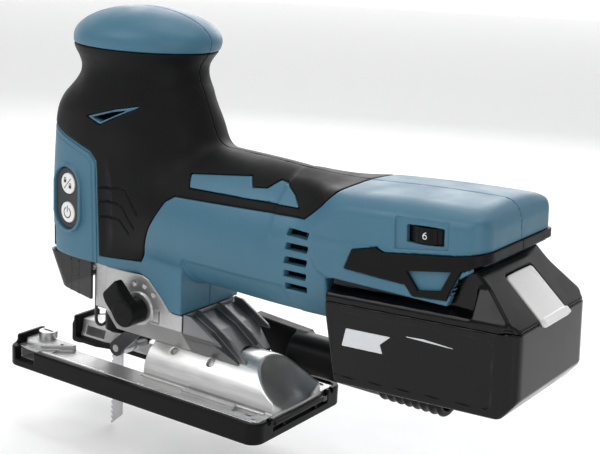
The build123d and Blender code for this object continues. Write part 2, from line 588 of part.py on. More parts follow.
def make_deck_parts():
    """Rubber band, dial, terminals and controller in the battery holder."""
    band = side_prism(BAND_OUTLINE, 60) - side_prism(BAND_FLAT, 60)
    band = band & on_deck(deck_plan(-1.2, DECK_REAR, 15.2, (80, 140)))
    keep("rubber_band", band - on_deck(deck_plan(0, DECK_REAR, 14.0, (70, 150))))
    dial = rod_z(*DIAL, DIAL_Z, DIAL_R)
    for i in range(24):
        angle = radians(15 * i)
        x, y = DIAL[0] + 12.0 * cos(angle), DIAL[1] + 12.0 * sin(angle)
        dial = dial - rod_z(x, y, (110, 126), 0.8)
    keep("speed_dial", on_deck(dial))
    board = block((165, 222), (-10, 28), (119.5, 121.1)) + block((176, 205), (-6, 20), (121.1, 127))
    keep("controller_board", on_deck(board))
    block_form = block((166, 184), (-13.5, 13.5), (102.0, 114.4))
    for y in CONTACT_Y:
        block_form = block_form + block((183, 196), (y - 0.5, y + 0.5), (102.6, 105.8))
    keep("terminal_block", on_deck(block_form))
    screws = []
    for x, z, y in SCREWS:
        screws.append(rod_y(x, (y - 14.0, y - 2.4), z, 2.0) + rod_y(x, (y - 2.5, y), z, 3.4))
    keep("housing_screws", Compound(children=screws))


def battery_shell():
    """Level outer form of the battery: a block with a sloping rear shoulder."""
    outline = [(BATTERY_FRONT + 4.6, BATTERY_BOTTOM + 2), (BATTERY_FRONT + 7.0, BATTERY_BOTTOM),
               (BATTERY_BACK - 7.0, BATTERY_BOTTOM), (BATTERY_BACK, BATTERY_BOTTOM + 8.0),
               (BATTERY_BACK, SHOULDER[1][1]), SHOULDER[0], (SHOULDER[0][0], BATTERY_TOP),
               (BATTERY_FRONT, BATTERY_TOP), (BATTERY_FRONT, BATTERY_SEAM)]
    return side_prism(outline, BATTERY_HALF) & battery_plan(0, 12.0)


def battery_plan(inset, corner):
    """Upright block over the battery's plan, with its rear corners rounded."""
    half = BATTERY_HALF - inset
    plan = block((BATTERY_FRONT - 5, BATTERY_BACK - inset), (-half, half), (0, 200))
    return fillet(plan.edges().filter_by(Axis.Z).group_by(Axis.X)[-1], corner)


SHOULDER = ((232.5, 101.5), (BATTERY_BACK, 84.0))   # top and bottom of the rear slope
SLOPE = degrees(atan2(SHOULDER[0][1] - SHOULDER[1][1], SHOULDER[1][0] - SHOULDER[0][0]))


def on_shoulder(shape):
    """Put a shape drawn with +X down the slope and +Z out of it at the slope's middle."""
    x = (SHOULDER[0][0] + SHOULDER[1][0]) / 2
    z = (SHOULDER[0][1] + SHOULDER[1][1]) / 2
    return Pos(x, 0, z) * Rot(0, SLOPE, 0) * shape


def make_battery():
    form = battery_shell()
    far = 400.0
    well = side_prism([(161.5, 49.2), (244.0, 49.2), (247.6, 54.5), (247.6, 90), (159.3, 90),
                       (159.3, 60)], 35.0) & battery_plan(2.9, 8.5)
    lower = form & block((-far, far), (-far, far), (0, BATTERY_SEAM))
    keep("battery_lower_case", on_deck(lower - well))
    seam = BATTERY_SEAM + 0.05
    slider = cross_prism([(-BATTERY_HALF, seam), (BATTERY_HALF, seam), (BATTERY_HALF, 87.6),
                          (30.4, 90.4), (30.4, 110), (-30.4, 110), (-30.4, 90.4),
                          (-BATTERY_HALF, 87.6)], (150, 260))
    hump = cross_prism([(-BATTERY_HALF, seam), (BATTERY_HALF, seam), (BATTERY_HALF, 88.6),
                        (27.0, 107), (-27.0, 107), (-BATTERY_HALF, 88.6)], (228.0, 260))
    upper = form & (slider + hump)
    attic = side_prism([(159.3, 78), (247.2, 78), (239.5, 85.6), (159.3, 85.6)], 34.8)
    attic = attic & battery_plan(2.9, 8.5)
    attic = attic + side_prism([(162, 80), (240, 80), (222, 99), (162, 99)], 25.0)
    upper = upper - attic
    upper = upper - on_shoulder(block((-13.0, 14.5), (-13.1, 13.1), (-4.4, 8)))
    for side in (-1, 1):
        upper = upper - block((150, 219.0), sorted((side * 31.0, side * 27.6)), (96.0, 99.2))
    upper = upper - block((150, 198.5), (-15, 15), (101.5, 110.0))
    keep("battery_upper_case", on_deck(upper))
    cells = []
    for row in range(2):
        for i in range(5):
            x, z = 168.6 + 17.2 * i, 58.1 + 17.1 * row
            cells.append(rod_y(x, (-31.3, 31.3), z, 8.4))
    keep("cells", on_deck(Compound(children=cells)))
    contacts = block((197.0, 198.45), (-13, 13), (101.55, 105.9))
    for y in CONTACT_Y:
        for offset in (-1.15, 1.15):
            contacts = contacts + block((187, 197.1), (y + offset - 0.5, y + offset + 0.5),
                                        (101.6, 105.8))
    keep("battery_contacts", on_deck(contacts))
    button = on_shoulder(block((-12.8, 14.2), (-12.8, 12.8), (-1.8, 1.2)))
    keep("release_button", on_deck(button))
    spring = Pos(-6.5, 0, -3.4) * (Cylinder(3.5, 1.9) - Cylinder(2.5, 4))
    keep("release_spring", on_deck(on_shoulder(spring)))


def write_all():
    os.makedirs("parts", exist_ok=True)
    for name, shape in PIECES.items():
        export_step(shape, f"parts/{name}.step")


make_clamshell()
make_switches()
make_gear_housing()
make_rear_bracket()
make_drive()
make_plunger()
make_orbital()
make_guards()
make_base()
make_nozzle()
make_deck_parts()
make_battery()
write_all()
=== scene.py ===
"""Looks of the cordless barrel-grip jigsaw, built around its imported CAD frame.

Moulded and cast pieces are level sets in millimetres, meshed with surface nets.
+X runs to the battery, the tool's left side is -Y and the sole is at z = 0.
"""
import bpy
import math
import numpy as np
from mathutils import Matrix, Vector


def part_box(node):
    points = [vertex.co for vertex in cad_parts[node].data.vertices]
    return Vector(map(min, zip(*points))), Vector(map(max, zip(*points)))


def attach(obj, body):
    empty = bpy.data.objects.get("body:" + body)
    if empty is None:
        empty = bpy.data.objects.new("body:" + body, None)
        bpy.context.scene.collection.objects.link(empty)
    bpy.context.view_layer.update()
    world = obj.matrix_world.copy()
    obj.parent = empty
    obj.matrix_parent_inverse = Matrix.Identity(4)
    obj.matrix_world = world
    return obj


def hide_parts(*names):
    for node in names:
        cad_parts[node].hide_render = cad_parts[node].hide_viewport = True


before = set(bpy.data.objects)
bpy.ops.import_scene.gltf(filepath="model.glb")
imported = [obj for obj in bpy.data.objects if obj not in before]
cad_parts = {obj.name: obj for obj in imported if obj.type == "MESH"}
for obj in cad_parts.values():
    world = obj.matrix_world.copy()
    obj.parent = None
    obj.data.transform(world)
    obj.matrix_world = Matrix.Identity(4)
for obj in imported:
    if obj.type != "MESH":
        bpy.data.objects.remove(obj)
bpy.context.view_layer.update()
MM = 0.001
COARSE = 1.0

# Driving places and sizes, in millimetres: they follow the CAD's own.
DIAL_U, DIAL_Y, DIAL_W = 204.8, -23.4, 120.0
LEVER_X, LEVER_Z = 32.5, 46.0
LEVER_ANGLES = (-45.0, -15.0, 15.0, 45.0)
SADDLE_Z, SADDLE = 11.0, 20.9
BUTTON_RISE = 7.7
SHELL_STEP = 0.75


# ---- level-set tools ----------------------------------------------------
def smin(a, b, k):
    h = np.clip(0.5 + 0.5 * (b - a) / k, 0, 1)
    return b + (a - b) * h - k * h * (1 - h)


def smax(a, b, k):
    return -smin(-a, -b, k)


def cut(a, b, k=0.6):
    """a without b."""
    return smax(a, -b, k)


def slab(v, lo, hi):
    return np.abs(v - (lo + hi) / 2) - (hi - lo) / 2


def extrude(d, w, r):
    """Prism of the 2D distance d through the slab distance w, with edges of radius r."""
    a, b = d + r, w + r
    outside = np.hypot(np.maximum(a, 0), np.maximum(b, 0))
    return outside + np.minimum(np.maximum(a, b), 0) - r


def box(x, y, z, bx, by, bz, r=0.5):
    return extrude(extrude(slab(x, *bx), slab(y, *by), r), slab(z, *bz), r)


def rect(u, v, bu, bv, r):
    return extrude(slab(u, *bu), slab(v, *bv), r)


def disc(u, v, cu, cv, r):
    return np.hypot(u - cu, v - cv) - r


def poly(u, v, points):
    """Signed distance to a closed outline."""
    best, sign = None, 1.0
    for i in range(len(points)):
        (ax, ay), (bx, by) = points[i], points[i - 1]
        ex, ey = bx - ax, by - ay
        wx, wy = u - ax, v - ay
        t = np.clip((wx * ex + wy * ey) / (ex * ex + ey * ey), 0, 1)
        d = (wx - ex * t) ** 2 + (wy - ey * t) ** 2
        best = d if best is None else np.minimum(best, d)
        c1, c2, c3 = v >= ay, v < by, ex * wy > ey * wx
        sign = np.where((c1 & c2 & c3) | (~c1 & ~c2 & ~c3), -sign, sign)
    return sign * np.sqrt(best)


def line(u, v, points):
    """Distance to an open polyline."""
    best = None
    for (ax, ay), (bx, by) in zip(points, points[1:]):
        ex, ey = bx - ax, by - ay
        t = np.clip(((u - ax) * ex + (v - ay) * ey) / (ex * ex + ey * ey), 0, 1)
        d = np.hypot(u - ax - ex * t, v - ay - ey * t)
        best = d if best is None else np.minimum(best, d)
    return best


def smooth_table(rows, count=240):
    """Columns of rows, interpolated smoothly over the first column."""
    rows = np.array(rows, float)
    order = np.argsort(rows[:, 0])
    rows = rows[order]
    s = np.linspace(rows[0, 0], rows[-1, 0], count)
    table = [s]
    h = np.diff(rows[:, 0])
    for c in range(1, rows.shape[1]):
        v = rows[:, c]
        slope = np.diff(v) / h
        m = np.concatenate([[slope[0]], (slope[1:] + slope[:-1]) / 2, [slope[-1]]])
        i = np.clip(np.searchsorted(rows[:, 0], s) - 1, 0, len(h) - 1)
        t = (s - rows[i, 0]) / h[i]
        table.append((2 * t**3 - 3 * t**2 + 1) * v[i] + (t**3 - 2 * t**2 + t) * h[i] * m[i]
                     + (3 * t**2 - 2 * t**3) * v[i + 1] + (t**3 - t**2) * h[i] * m[i + 1])
    return table


def look_up(table, s):
    return [np.interp(s, table[0], column) for column in table[1:]]


def surface(field, lo, hi, step):
    """Surface-nets mesh of field(x, y, z) = 0 inside a box: points, quads and normals."""
    axes = [np.arange(a - 1.5 * step, b + 2.5 * step, step) for a, b in zip(lo, hi)]
    x, y, z = axes[0][:, None, None], axes[1][None, :, None], axes[2][None, None, :]
    d = np.broadcast_to(field(x, y, z), [len(a) for a in axes]).astype(np.float32)
    d = np.where(d == 0, 1e-6, d)
    n = d.shape
    cells, where, quads = [], [], []
    for axis in range(3):
        a = np.take(d, range(n[axis] - 1), axis)
        b = np.take(d, range(1, n[axis]), axis)
        i = np.array(np.nonzero((a < 0) != (b < 0)))
        others = [o for o in range(3) if o != axis]
        keep = (i[others[0]] > 0) & (i[others[1]] > 0)
        keep &= (i[others[0]] < n[others[0]] - 1) & (i[others[1]] < n[others[1]] - 1)
        i = i[:, keep]
        va, vb = a[tuple(i)], b[tuple(i)]
        point = i.astype(float)
        point[axis] += va / (va - vb)
        corner = []
        for du, dv in ((0, 0), (-1, 0), (-1, -1), (0, -1)):
            c = i.copy()
            c[others[0]] += du
            c[others[1]] += dv
            corner.append((c[0] * n[1] + c[1]) * n[2] + c[2])
            cells.append(corner[-1])
            where.append(point)
        q = np.stack(corner, 1)
        flip = (va < 0) if axis == 1 else (va > 0)
        q[flip] = q[flip][:, ::-1]
        quads.append(q)
    cells, where = np.concatenate(cells), np.concatenate(where, 1)
    ids, inverse = np.unique(cells, return_inverse=True)
    count = np.bincount(inverse)
    points = np.stack([np.bincount(inverse, where[k]) / count for k in range(3)], 1)
    quads = np.searchsorted(ids, np.concatenate(quads))
    points = points * step + np.array([a[0] for a in axes])
    normal = None
    for _ in range(2):
        e = 0.35 * step
        p = points.T
        grad = np.stack([field(p[0] + e, p[1], p[2]) - field(p[0] - e, p[1], p[2]),
                         field(p[0], p[1] + e, p[2]) - field(p[0], p[1] - e, p[2]),
                         field(p[0], p[1], p[2] + e) - field(p[0], p[1], p[2] - e)], 1) / (2 * e)
        size = np.maximum(np.linalg.norm(grad, axis=1, keepdims=True), 0.3)
        normal = grad / size
        move = np.clip(field(*p)[:, None] / size, -0.45 * step, 0.45 * step)
        points = points - move * normal
    return points, quads, normal


def add_mesh(name, points, quads, normal=None):
    mesh = bpy.data.meshes.new(name)
    mesh.vertices.add(len(points))
    mesh.vertices.foreach_set("co", (points * MM).astype(np.float32).ravel())
    mesh.loops.add(quads.size)
    mesh.loops.foreach_set("vertex_index", quads.astype(np.int32).ravel())
    mesh.polygons.add(len(quads))
    mesh.polygons.foreach_set("loop_start", np.arange(0, quads.size, 4, dtype=np.int32))
    mesh.update(calc_edges=True)
    mesh.validate()
    mesh.polygons.foreach_set("use_smooth", np.ones(len(mesh.polygons), bool))
    if normal is not None and len(normal) == len(mesh.vertices):
        length = np.maximum(np.linalg.norm(normal, axis=1, keepdims=True), 1e-6)
        mesh.normals_split_custom_set_from_vertices((normal / length).tolist())
    mesh.update()
    thing = bpy.data.objects.new(name, mesh)
    bpy.context.scene.collection.objects.link(thing)
    return thing


def place(thing, body, material, nodes=()):
    thing.data.materials.clear()
    thing.data.materials.append(material)
    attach(thing, body)
    if nodes:
        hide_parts(*nodes)
    return thing


def build(name, field, lo, hi, step, body, material, slot, nodes=(), mirrored=None):
    """Mesh a level set as one piece; mirrored names its copy on the right side."""
    points, quads, normal = surface(field, lo, hi, step * COARSE)
    thing = place(add_mesh(name, points, quads, normal), body, material, nodes)
    if mirrored:
        other, other_nodes = mirrored
        flip = np.array([1, -1, 1])
        twin = add_mesh(other, points * flip, quads[:, ::-1], normal * flip)
        place(twin, body, material, other_nodes)
    return thing


# ---- materials ----------------------------------------------------------
def ramp(nodes, links, source, low, high, start=0.35, stop=0.65):
    """Map a 0-1 value onto low..high."""
    node = nodes.new("ShaderNodeMapRange")
    node.inputs["From Min"].default_value = start
    node.inputs["From Max"].default_value = stop
    node.inputs["To Min"].default_value = low
    node.inputs["To Max"].default_value = high
    links.new(source, node.inputs["Value"])
    return node.outputs["Result"]


def finish(name, color, rough, metal=0.0, grain=900.0, bump=0.25, spread=0.10, wear=0.25,
           coat=0.0, alpha=1.0, brushed=None, ior=1.5, shine=0.5):
    """Moulded, cast or ground surface with cloudy colour, uneven gloss, grain and worn edges."""
    material = bpy.data.materials.new(name)
    material.use_nodes = True
    nodes, links = material.node_tree.nodes, material.node_tree.links
    shader = nodes["Principled BSDF"]
    shader.inputs["Metallic"].default_value = metal
    shader.inputs["IOR"].default_value = ior
    shader.inputs["Specular IOR Level"].default_value = shine
    shader.inputs["Coat Weight"].default_value = coat
    shader.inputs["Coat Roughness"].default_value = 0.25
    shader.inputs["Alpha"].default_value = alpha
    place_node = nodes.new("ShaderNodeTexCoord")
    space = place_node.outputs["Object"]
    if brushed:
        stretch = nodes.new("ShaderNodeMapping")
        stretch.inputs["Scale"].default_value = brushed
        links.new(space, stretch.inputs["Vector"])
        grain_space = stretch.outputs["Vector"]
    else:
        grain_space = space

    def noise(scale, detail, vector):
        node = nodes.new("ShaderNodeTexNoise")
        node.inputs["Scale"].default_value = scale
        node.inputs["Detail"].default_value = detail
        links.new(vector, node.inputs["Vector"])
        return node.outputs["Fac"]

    cloud = noise(28.0, 4.0, space)
    fine = noise(grain, 3.0, grain_space)
    smudge = noise(70.0, 6.0, space)
    geometry = nodes.new("ShaderNodeNewGeometry")
    edge = ramp(nodes, links, geometry.outputs["Pointiness"], 0.0, wear, 0.52, 0.62)
    dark, light = [tuple(c * k for c in color) + (1,) for k in (1 - spread, 1 + spread)]
    lift = min(1.0, 0.1 + 4.0 * max(color))
    tone = nodes.new("ShaderNodeMix")
    tone.data_type = "RGBA"
    tone.inputs["A"].default_value = dark
    tone.inputs["B"].default_value = light
    links.new(ramp(nodes, links, cloud, 0.0, 1.0), tone.inputs["Factor"])
    speck = nodes.new("ShaderNodeMix")
    speck.data_type = "RGBA"
    speck.inputs["B"].default_value = tuple(min(1, c * 1.35 + 0.01 * lift) for c in color) + (1,)
    links.new(ramp(nodes, links, fine, 0.0, 0.35, 0.45, 0.75), speck.inputs["Factor"])
    links.new(tone.outputs["Result"], speck.inputs["A"])
    worn = nodes.new("ShaderNodeMix")
    worn.data_type = "RGBA"
    worn.inputs["B"].default_value = tuple(min(1, c * 1.5 + 0.05 * lift) for c in color) + (1,)
    links.new(edge, worn.inputs["Factor"])
    links.new(speck.outputs["Result"], worn.inputs["A"])
    links.new(worn.outputs["Result"], shader.inputs["Base Color"])
    links.new(ramp(nodes, links, smudge, rough - 0.05, rough + 0.07), shader.inputs["Roughness"])
    relief = nodes.new("ShaderNodeBump")
    relief.inputs["Strength"].default_value = bump
    relief.inputs["Distance"].default_value = 0.00012
    links.new(fine, relief.inputs["Height"])
    links.new(relief.outputs["Normal"], shader.inputs["Normal"])
    return material


TEAL = finish("teal_moulding", (0.052, 0.150, 0.218), 0.42, grain=2600, bump=0.10, spread=0.05, shine=0.36)
GRIP = finish("black_elastomer", (0.0075, 0.0077, 0.008), 0.50, grain=1900, bump=0.22, spread=0.15,
              shine=0.10)
BLACK = finish("black_moulding", (0.005, 0.005, 0.0054), 0.36, grain=2200, bump=0.12, spread=0.15,
               shine=0.12)
GLOSS = finish("gloss_black_moulding", (0.0025, 0.0025, 0.0028), 0.17, grain=1500, bump=0.03, spread=0.2,
               shine=0.24)
PAD = finish("grey_rubber", (0.03, 0.031, 0.033), 0.6, grain=2000, bump=0.2)
WHITE = finish("white_moulding", (0.80, 0.80, 0.785), 0.3, grain=1800, bump=0.04, spread=0.02, wear=0.0)
INK = finish("dark_ink", (0.012, 0.012, 0.013), 0.45, grain=1800, bump=0.05)
PALE_INK = finish("pale_print", (0.62, 0.64, 0.66), 0.4, grain=1800, bump=0.02, spread=0.03)
ALLOY = finish("cast_aluminium", (0.47, 0.47, 0.465), 0.42, metal=0.9, grain=1500, bump=0.55, spread=0.06)
HUMP = finish("machined_aluminium", (0.74, 0.74, 0.73), 0.36, metal=0.85, grain=900, bump=0.25,
              spread=0.03, brushed=(0.05, 1.0, 1.0))
BRIGHT = finish("bright_edge", (0.86, 0.86, 0.86), 0.2, metal=0.95, grain=900, bump=0.1, spread=0.03)
# Dark grey casting for the ribbed bracket: its darkness is partly the casting's own colour and partly painted
# shade of the bracket's shadowed rear slope.
DARK_CAST_AND_SHADE = finish("dark_casting_and_painted_shade", (0.20, 0.20, 0.205), 0.34, metal=0.9, grain=1300, bump=0.5)
STEEL = finish("ground_steel", (0.55, 0.55, 0.56), 0.25, metal=1.0, grain=1400, bump=0.2,
               brushed=(1.0, 1.0, 0.06))
BLACKENED = finish("blackened_steel", (0.055, 0.055, 0.058), 0.34, metal=0.7, grain=1300, bump=0.3)
ZINC = finish("zinc_plate", (0.50, 0.51, 0.52), 0.36, metal=1.0, grain=1000, bump=0.15)
BRONZE = finish("sintered_bronze", (0.42, 0.26, 0.11), 0.45, metal=0.9, grain=2600, bump=0.5)
COPPER = finish("enamelled_copper", (0.62, 0.22, 0.08), 0.3, metal=0.9, grain=1200, bump=0.4,
                brushed=(1.0, 0.1, 0.1))
STACK = finish("lamination_stack", (0.22, 0.22, 0.23), 0.4, metal=0.8, grain=1500, bump=0.6,
               brushed=(1.0, 0.02, 0.02))
BOARD = finish("resin_board", (0.02, 0.12, 0.055), 0.4, grain=1200, bump=0.3)
WRAP = finish("cell_film", (0.03, 0.13, 0.33), 0.22, grain=400, bump=0.05, coat=0.3)
SMOKE = finish("smoked_polycarbonate", (0.008, 0.0085, 0.009), 0.10, grain=900, bump=0.02,
               alpha=0.88, spread=0.05)
LENS = finish("lamp_lens", (0.85, 0.85, 0.82), 0.1, grain=900, bump=0.05, spread=0.02)
BLADE = finish("blade_steel", (0.42, 0.42, 0.43), 0.3, metal=1.0, grain=1500, bump=0.25,
               brushed=(1.0, 1.0, 0.08))


# ---- the body's outer form ----------------------------------------------
# Head sections: height, centre x, half-length, half-width, squareness.
HEAD = smooth_table((
    (55.0, 4.0, 42.0, 26.0, 3.0), (65.0, 4.0, 42.0, 26.0, 3.0), (100.0, 8.2, 46.2, 27.5, 3.0),
    (128.0, 11.6, 49.6, 29.0, 2.6), (137.6, 11.4, 49.6, 29.8, 2.35), (144.0, 10.9, 47.9, 30.1, 2.2),
    (150.2, 11.2, 44.9, 29.8, 2.05), (154.5, 12.4, 41.8, 29.2, 2.0), (158.9, 13.6, 38.7, 28.6, 2.0),
    (163.0, 13.8, 36.3, 28.0, 2.0), (167.0, 13.5, 35.6, 27.8, 2.0), (171.0, 12.9, 36.6, 28.6, 2.0),
    (175.0, 13.0, 39.0, 30.3, 2.0), (178.5, 14.0, 40.8, 31.5, 2.0), (181.5, 14.6, 41.3, 31.9, 2.0),
    (190.0, 15.6, 41.3, 31.9, 2.0), (200.0, 15.6, 41.3, 31.9, 2.0)))
# Barrel sections: x, centre height, half-width, half-height.
BARREL = smooth_table((
    (10.0, 99.0, 30.0, 33.0), (20.0, 99.0, 30.0, 33.0), (48.0, 98.4, 32.9, 35.2),
    (80.0, 97.6, 33.4, 35.4), (112.0, 96.6, 33.1, 34.9), (140.0, 95.2, 31.9, 33.1),
    (160.0, 94.3, 30.8, 31.2)))
RIM_Z, DOME = 181.5, 16.5
TILT = math.radians(3.2)
DECK_HALF, DECK_REAR = 35.5, 233.0


def level(x, z):
    """Coordinates of the battery deck, turned level about (200, 47)."""
    dx, dz = x - 200.0, z - 47.0
    return (200.0 + dx * math.cos(TILT) + dz * math.sin(TILT),
            47.0 - dx * math.sin(TILT) + dz * math.cos(TILT))


def head(x, y, z):
    cx, a, b, n = look_up(HEAD, z)
    u, v = np.abs(x - cx) / a + 1e-4, np.abs(y) / b + 1e-4
    w = np.maximum(z - RIM_Z, 0) / DOME
    k = (u**n + v**n + w**n) ** (1 / n)
    slope = k ** (1 - n) * np.sqrt((u ** (n - 1) / a) ** 2 + (v ** (n - 1) / b) ** 2
                                   + (w ** (n - 1) / DOME) ** 2)
    return smax((k - 1) / slope, 65.0 - z, 2.0)


def barrel(x, y, z):
    zc, b, c = look_up(BARREL, x)
    u, v = np.abs(y) / b + 1e-4, np.abs(z - zc) / c + 1e-4
    k = np.hypot(u, v)
    d = (k - 1) * k / np.sqrt((u / b) ** 2 + (v / c) ** 2)
    return smax(smax(d, x - 151.0, 3.0), 20.0 - x, 2.0)


def ease(v, lo, hi):
    """0 below lo, 1 above hi, smooth between them."""
    t = np.clip((v - lo) / (hi - lo), 0, 1)
    return t * t * (3 - 2 * t)


def plan(u, y, grow=0.0):
    """Plan of the deck, with rounded rear corners and a narrower front."""
    narrow = 4.6 * (1 - ease(u, 128.0, 166.0))
    half = DECK_HALF + grow
    return rect(u, np.abs(y) + narrow, (80.0, DECK_REAR + grow), (-half, half), 9.0)


def deck(x, y, z):
    u, w = level(x, z)
    t = np.abs(y)
    crown = w - 134.2 + 0.0022 * y**2 + 0.0006 * (u - 190.0) ** 2
    top = smax(crown, (t * 0.60 + w * 0.80) - 123.6, 4.0)
    top = smax(top, t * 0.80 + w * 0.60 - 92.0 - 13.6 * ease(u, 130.0, 170.0), 4.0)
    top = smax(top, w * 0.55 + u * 0.83 - 263.0, 4.0)
    underside = 107.6 + 2.2 * ease(u, 219.0, DECK_REAR)
    block = smax(extrude(plan(u, y), np.maximum(top, underside - w), 1.8), 126.0 - u, 1.0)
    lip = poly(u, w, ((146, 104), (150, 97.5), (156, 94.4), (216.3, 91.0), (220.8, 103.0),
                      (226.5, 106.8), (226.5, 112), (146, 112)))
    lip = extrude(plan(u, y), lip, 1.2)
    return smin(block, lip, 1.0)


def wedge(x, y, z):
    outline = poly(x, z, ((29, 66.6), (31, 66.6), (39, 63.6), (47.5, 55.6), (53.5, 49.1), (60.8, 49.1),
                          (60.8, 90), (29, 90)))
    return extrude(outline, np.abs(y) - 24.0, 1.0)


def body(x, y, z):
    form = smin(head(x, y, z), barrel(x, y, z), 9.0)
    form = smin(form, deck(x, y, z), 7.0)
    ledge = rect(x, z, (64.0, 126.0), (40.0, 79.6), 4.0)
    proud, drop = 0.025, 0.9
    form = form - proud + drop * np.clip(0.5 - ledge / 1.2, 0, 1) * (y < -8)
    return smin(form, wedge(x, y, z), 1.5)


GRIP_LINE = ((7.4, 70.0), (34.6, 72.0), (38.3, 77.5), (41.0, 84.0), (46.0, 94.0), (55.5, 108.3),
             (60.5, 111.6), (136.0, 114.2), (144, 121.5), (151, 129.5), (156.5, 137), (162, 150),
             (110, 172), (60, 178.2), (-60, 177.4), (-60, 139.0), (-37, 135.2), (-10, 128.6),
             (2.4, 124.8), (6.8, 120.2))
PANEL_LINE = ((-60, 60), (5.8, 60), (5.8, 119.4), (1.9, 123.6), (-10.4, 127.4), (-37, 134.2), (-60, 138))
AIR_LINE = ((0.4, 142.9), (20.0, 148.9), (33.6, 151.9), (33.2, 150.6), (10.0, 139.4))
AIR_HOLE = ((4.6, 142.7), (18.0, 147.0), (27.0, 148.9), (10.8, 141.2))
STRIPE_LINE = ((64.4, 122.8), (97.5, 126.4), (101.4, 122.2), (109.0, 123.0), (113.0, 126.8), (119.0, 126.0),
               (125.5, 122.5), (131.0, 117.4), (67.4, 116.4))
CHEVRONS = (((7, 106.5), (24, 109.5), (29, 108.5), (38, 98.5)),
            ((7, 99.3), (22, 102), (27.5, 100.5), (35, 91)),
            ((7, 91), (22, 94), (26, 93), (31, 87)))


def mouth(x, y, z):
    lower = box(x, y, z, (-34, 50), (-21.2, 21.2), (50, 79), 1.0)
    return np.minimum(lower, box(x, y, z, (8, 59), (-18, 18), (40, 66.4), 1.0))


def bay(x, y, z):
    u, w = level(x, z)
    return np.minimum(box(u, y, w, (152.5, 226.0), (-31.0, 31.0), (70, 114.5), 0.6),
                      box(u, y, w, (220.0, 245.0), (-31.0, 31.0), (70, 108.2), 0.6))


def pad_space(x, y, z):
    """Coordinates of the switch pad: sideways, inwards and up from its centre."""
    dx, dy = x + 14.5, y + 26.0
    c, s = math.cos(math.radians(8.5)), math.sin(math.radians(8.5))
    return dx * c - dy * s, dx * s + dy * c, z - 97.0


def oval(u, w, half_w, half_h):
    return np.hypot(u, np.maximum(np.abs(w) - (half_h - half_w), 0)) - half_w


def vents(x, y, z):
    cuts = None
    for row in range(5):
        zc = 107.6 - 6.7 * row
        x0 = 128.8 - 0.5 * row
        slot = rect(x - 0.25 * (z - zc), z, (x0, x0 + 12.0), (zc - 1.7, zc + 1.7), 0.6)
        cuts = slot if cuts is None else np.minimum(cuts, slot)
    return cuts


def dial_window(x, y, z):
    u, w = level(x, z)
    wheel = extrude(disc(u, y, DIAL_U, DIAL_Y, 12.2), slab(w, 116.0, 124.0), 0.2)
    window = extrude(rect(u, w, (195.8, 213.8), (116.2, 123.9), 0.8), slab(y, -40, -31), 0.2)
    return np.minimum(wheel, window)


def dial_recess(x, y, z):
    u, w = level(x, z)
    side = poly(u, w, ((190.6, 112.6), (190.6, 126.6), (216.2, 126.6), (216.2, 115.4)))
    return extrude(side, slab(y, -50, -34.5), 0.3)


def teal_shell(x, y, z):
    d = body(x, y, z)
    grip = poly(x, z, GRIP_LINE)
    panel = poly(x, z, PANEL_LINE)
    air = poly(x, z, AIR_LINE)
    stripe = poly(x, z, STRIPE_LINE)
    outer = smax(d, -np.minimum(grip, panel) + 0.15, 0.7)
    under = smax(d + 2.4, np.minimum(grip, panel) - 1.5, 0.5)
    shell = np.minimum(outer, under)
    trims = smax(d + 0.2, np.minimum(air, stripe) + 0.35, 0.5)
    groove = line(x, z, ((61.8, 50), (61.8, 76), (64.5, 79.8), (125, 80.2)))
    shell = smax(shell, -(d + 4.6), 0.5)
    shell = np.minimum(shell, smax(trims, -(d + 3.2), 0.3))
    shell = cut(shell, smax(groove - 0.35, np.abs(d) - 0.5, 0.2), 0.3)
    band_seat = extrude(poly(x, z, BAND_LINE) - 0.2, np.abs(d) - 0.9, 0.2)
    shell = cut(shell, band_seat, 0.3)
    shell = cut(shell, smax(vents(x, y, z), np.abs(y + 30) - 10, 0.4), 0.5)
    shell = cut(shell, smax(poly(x, z, AIR_HOLE), y + 16, 0.3), 0.4)
    shell = cut(shell, dial_recess(x, y, z), 0.5)
    shell = cut(shell, dial_window(x, y, z), 0.4)
    shell = cut(shell, mouth(x, y, z), 0.6)
    shell = cut(shell, bay(x, y, z), 0.6)
    a, inward, c = pad_space(x, y, z)
    shell = cut(shell, smax(oval(a, c, 9.6, 16.6), inward - 12, 0.2), 0.3)
    return smax(shell, y + 0.14, 0.35)


BAND_LINE = ((162.5, 98.2), (166, 107.4), (178, 110.6), (182, 109.2), (217, 114.3), (234, 118.4),
             (240, 119.8), (240, 115.8), (232.6, 114.2), (219.5, 108.6), (213.5, 94.8), (197.5, 93.2),
             (193.5, 97.6))
BAND_FLAT = ((194, 103.6), (215, 107.4), (210.8, 98.2), (200.2, 96.2))


def grip_skin(x, y, z):
    d = body(x, y, z)
    shell = smax(d, poly(x, z, GRIP_LINE) + 0.15, 0.9)
    shell = smax(shell, -(d + 2.2), 0.3)
    trims = np.minimum(poly(x, z, AIR_LINE), poly(x, z, STRIPE_LINE))
    shell = cut(shell, trims, 0.6)
    for chevron in CHEVRONS:
        shell = cut(shell, smax(line(x, z, chevron) - 0.45, np.abs(d) - 0.7, 0.3), 0.5)
    shell = cut(shell, mouth(x, y, z), 0.6)
    return smax(shell, y + 0.12, 0.4)


def nose_panel(x, y, z):
    d = body(x, y, z)
    a, inward, c = pad_space(x, y, z)
    rim = smax(oval(a, c, 12.2, 19.2) + 0.9, np.abs(inward + 0.2) - 1.7, 1.2)
    line_in = np.abs(poly(x, z, PANEL_LINE) + 2.6) - 0.3
    shell = smax(d, poly(x, z, PANEL_LINE) + 0.15, 0.7)
    shell = cut(shell, smax(line_in, np.abs(d) - 0.35, 0.2), 0.3)
    shell = smax(shell, -(d + 2.3), 0.3)
    shell = smin(shell, smax(rim, x - 2.0, 0.5), 1.2)
    shell = cut(shell, smax(oval(a, c, 9.65, 16.65), np.abs(inward) - 9, 0.2), 0.5)
    shell = cut(shell, mouth(x, y, z), 0.5)
    return smax(shell, y + 0.10, 0.3)


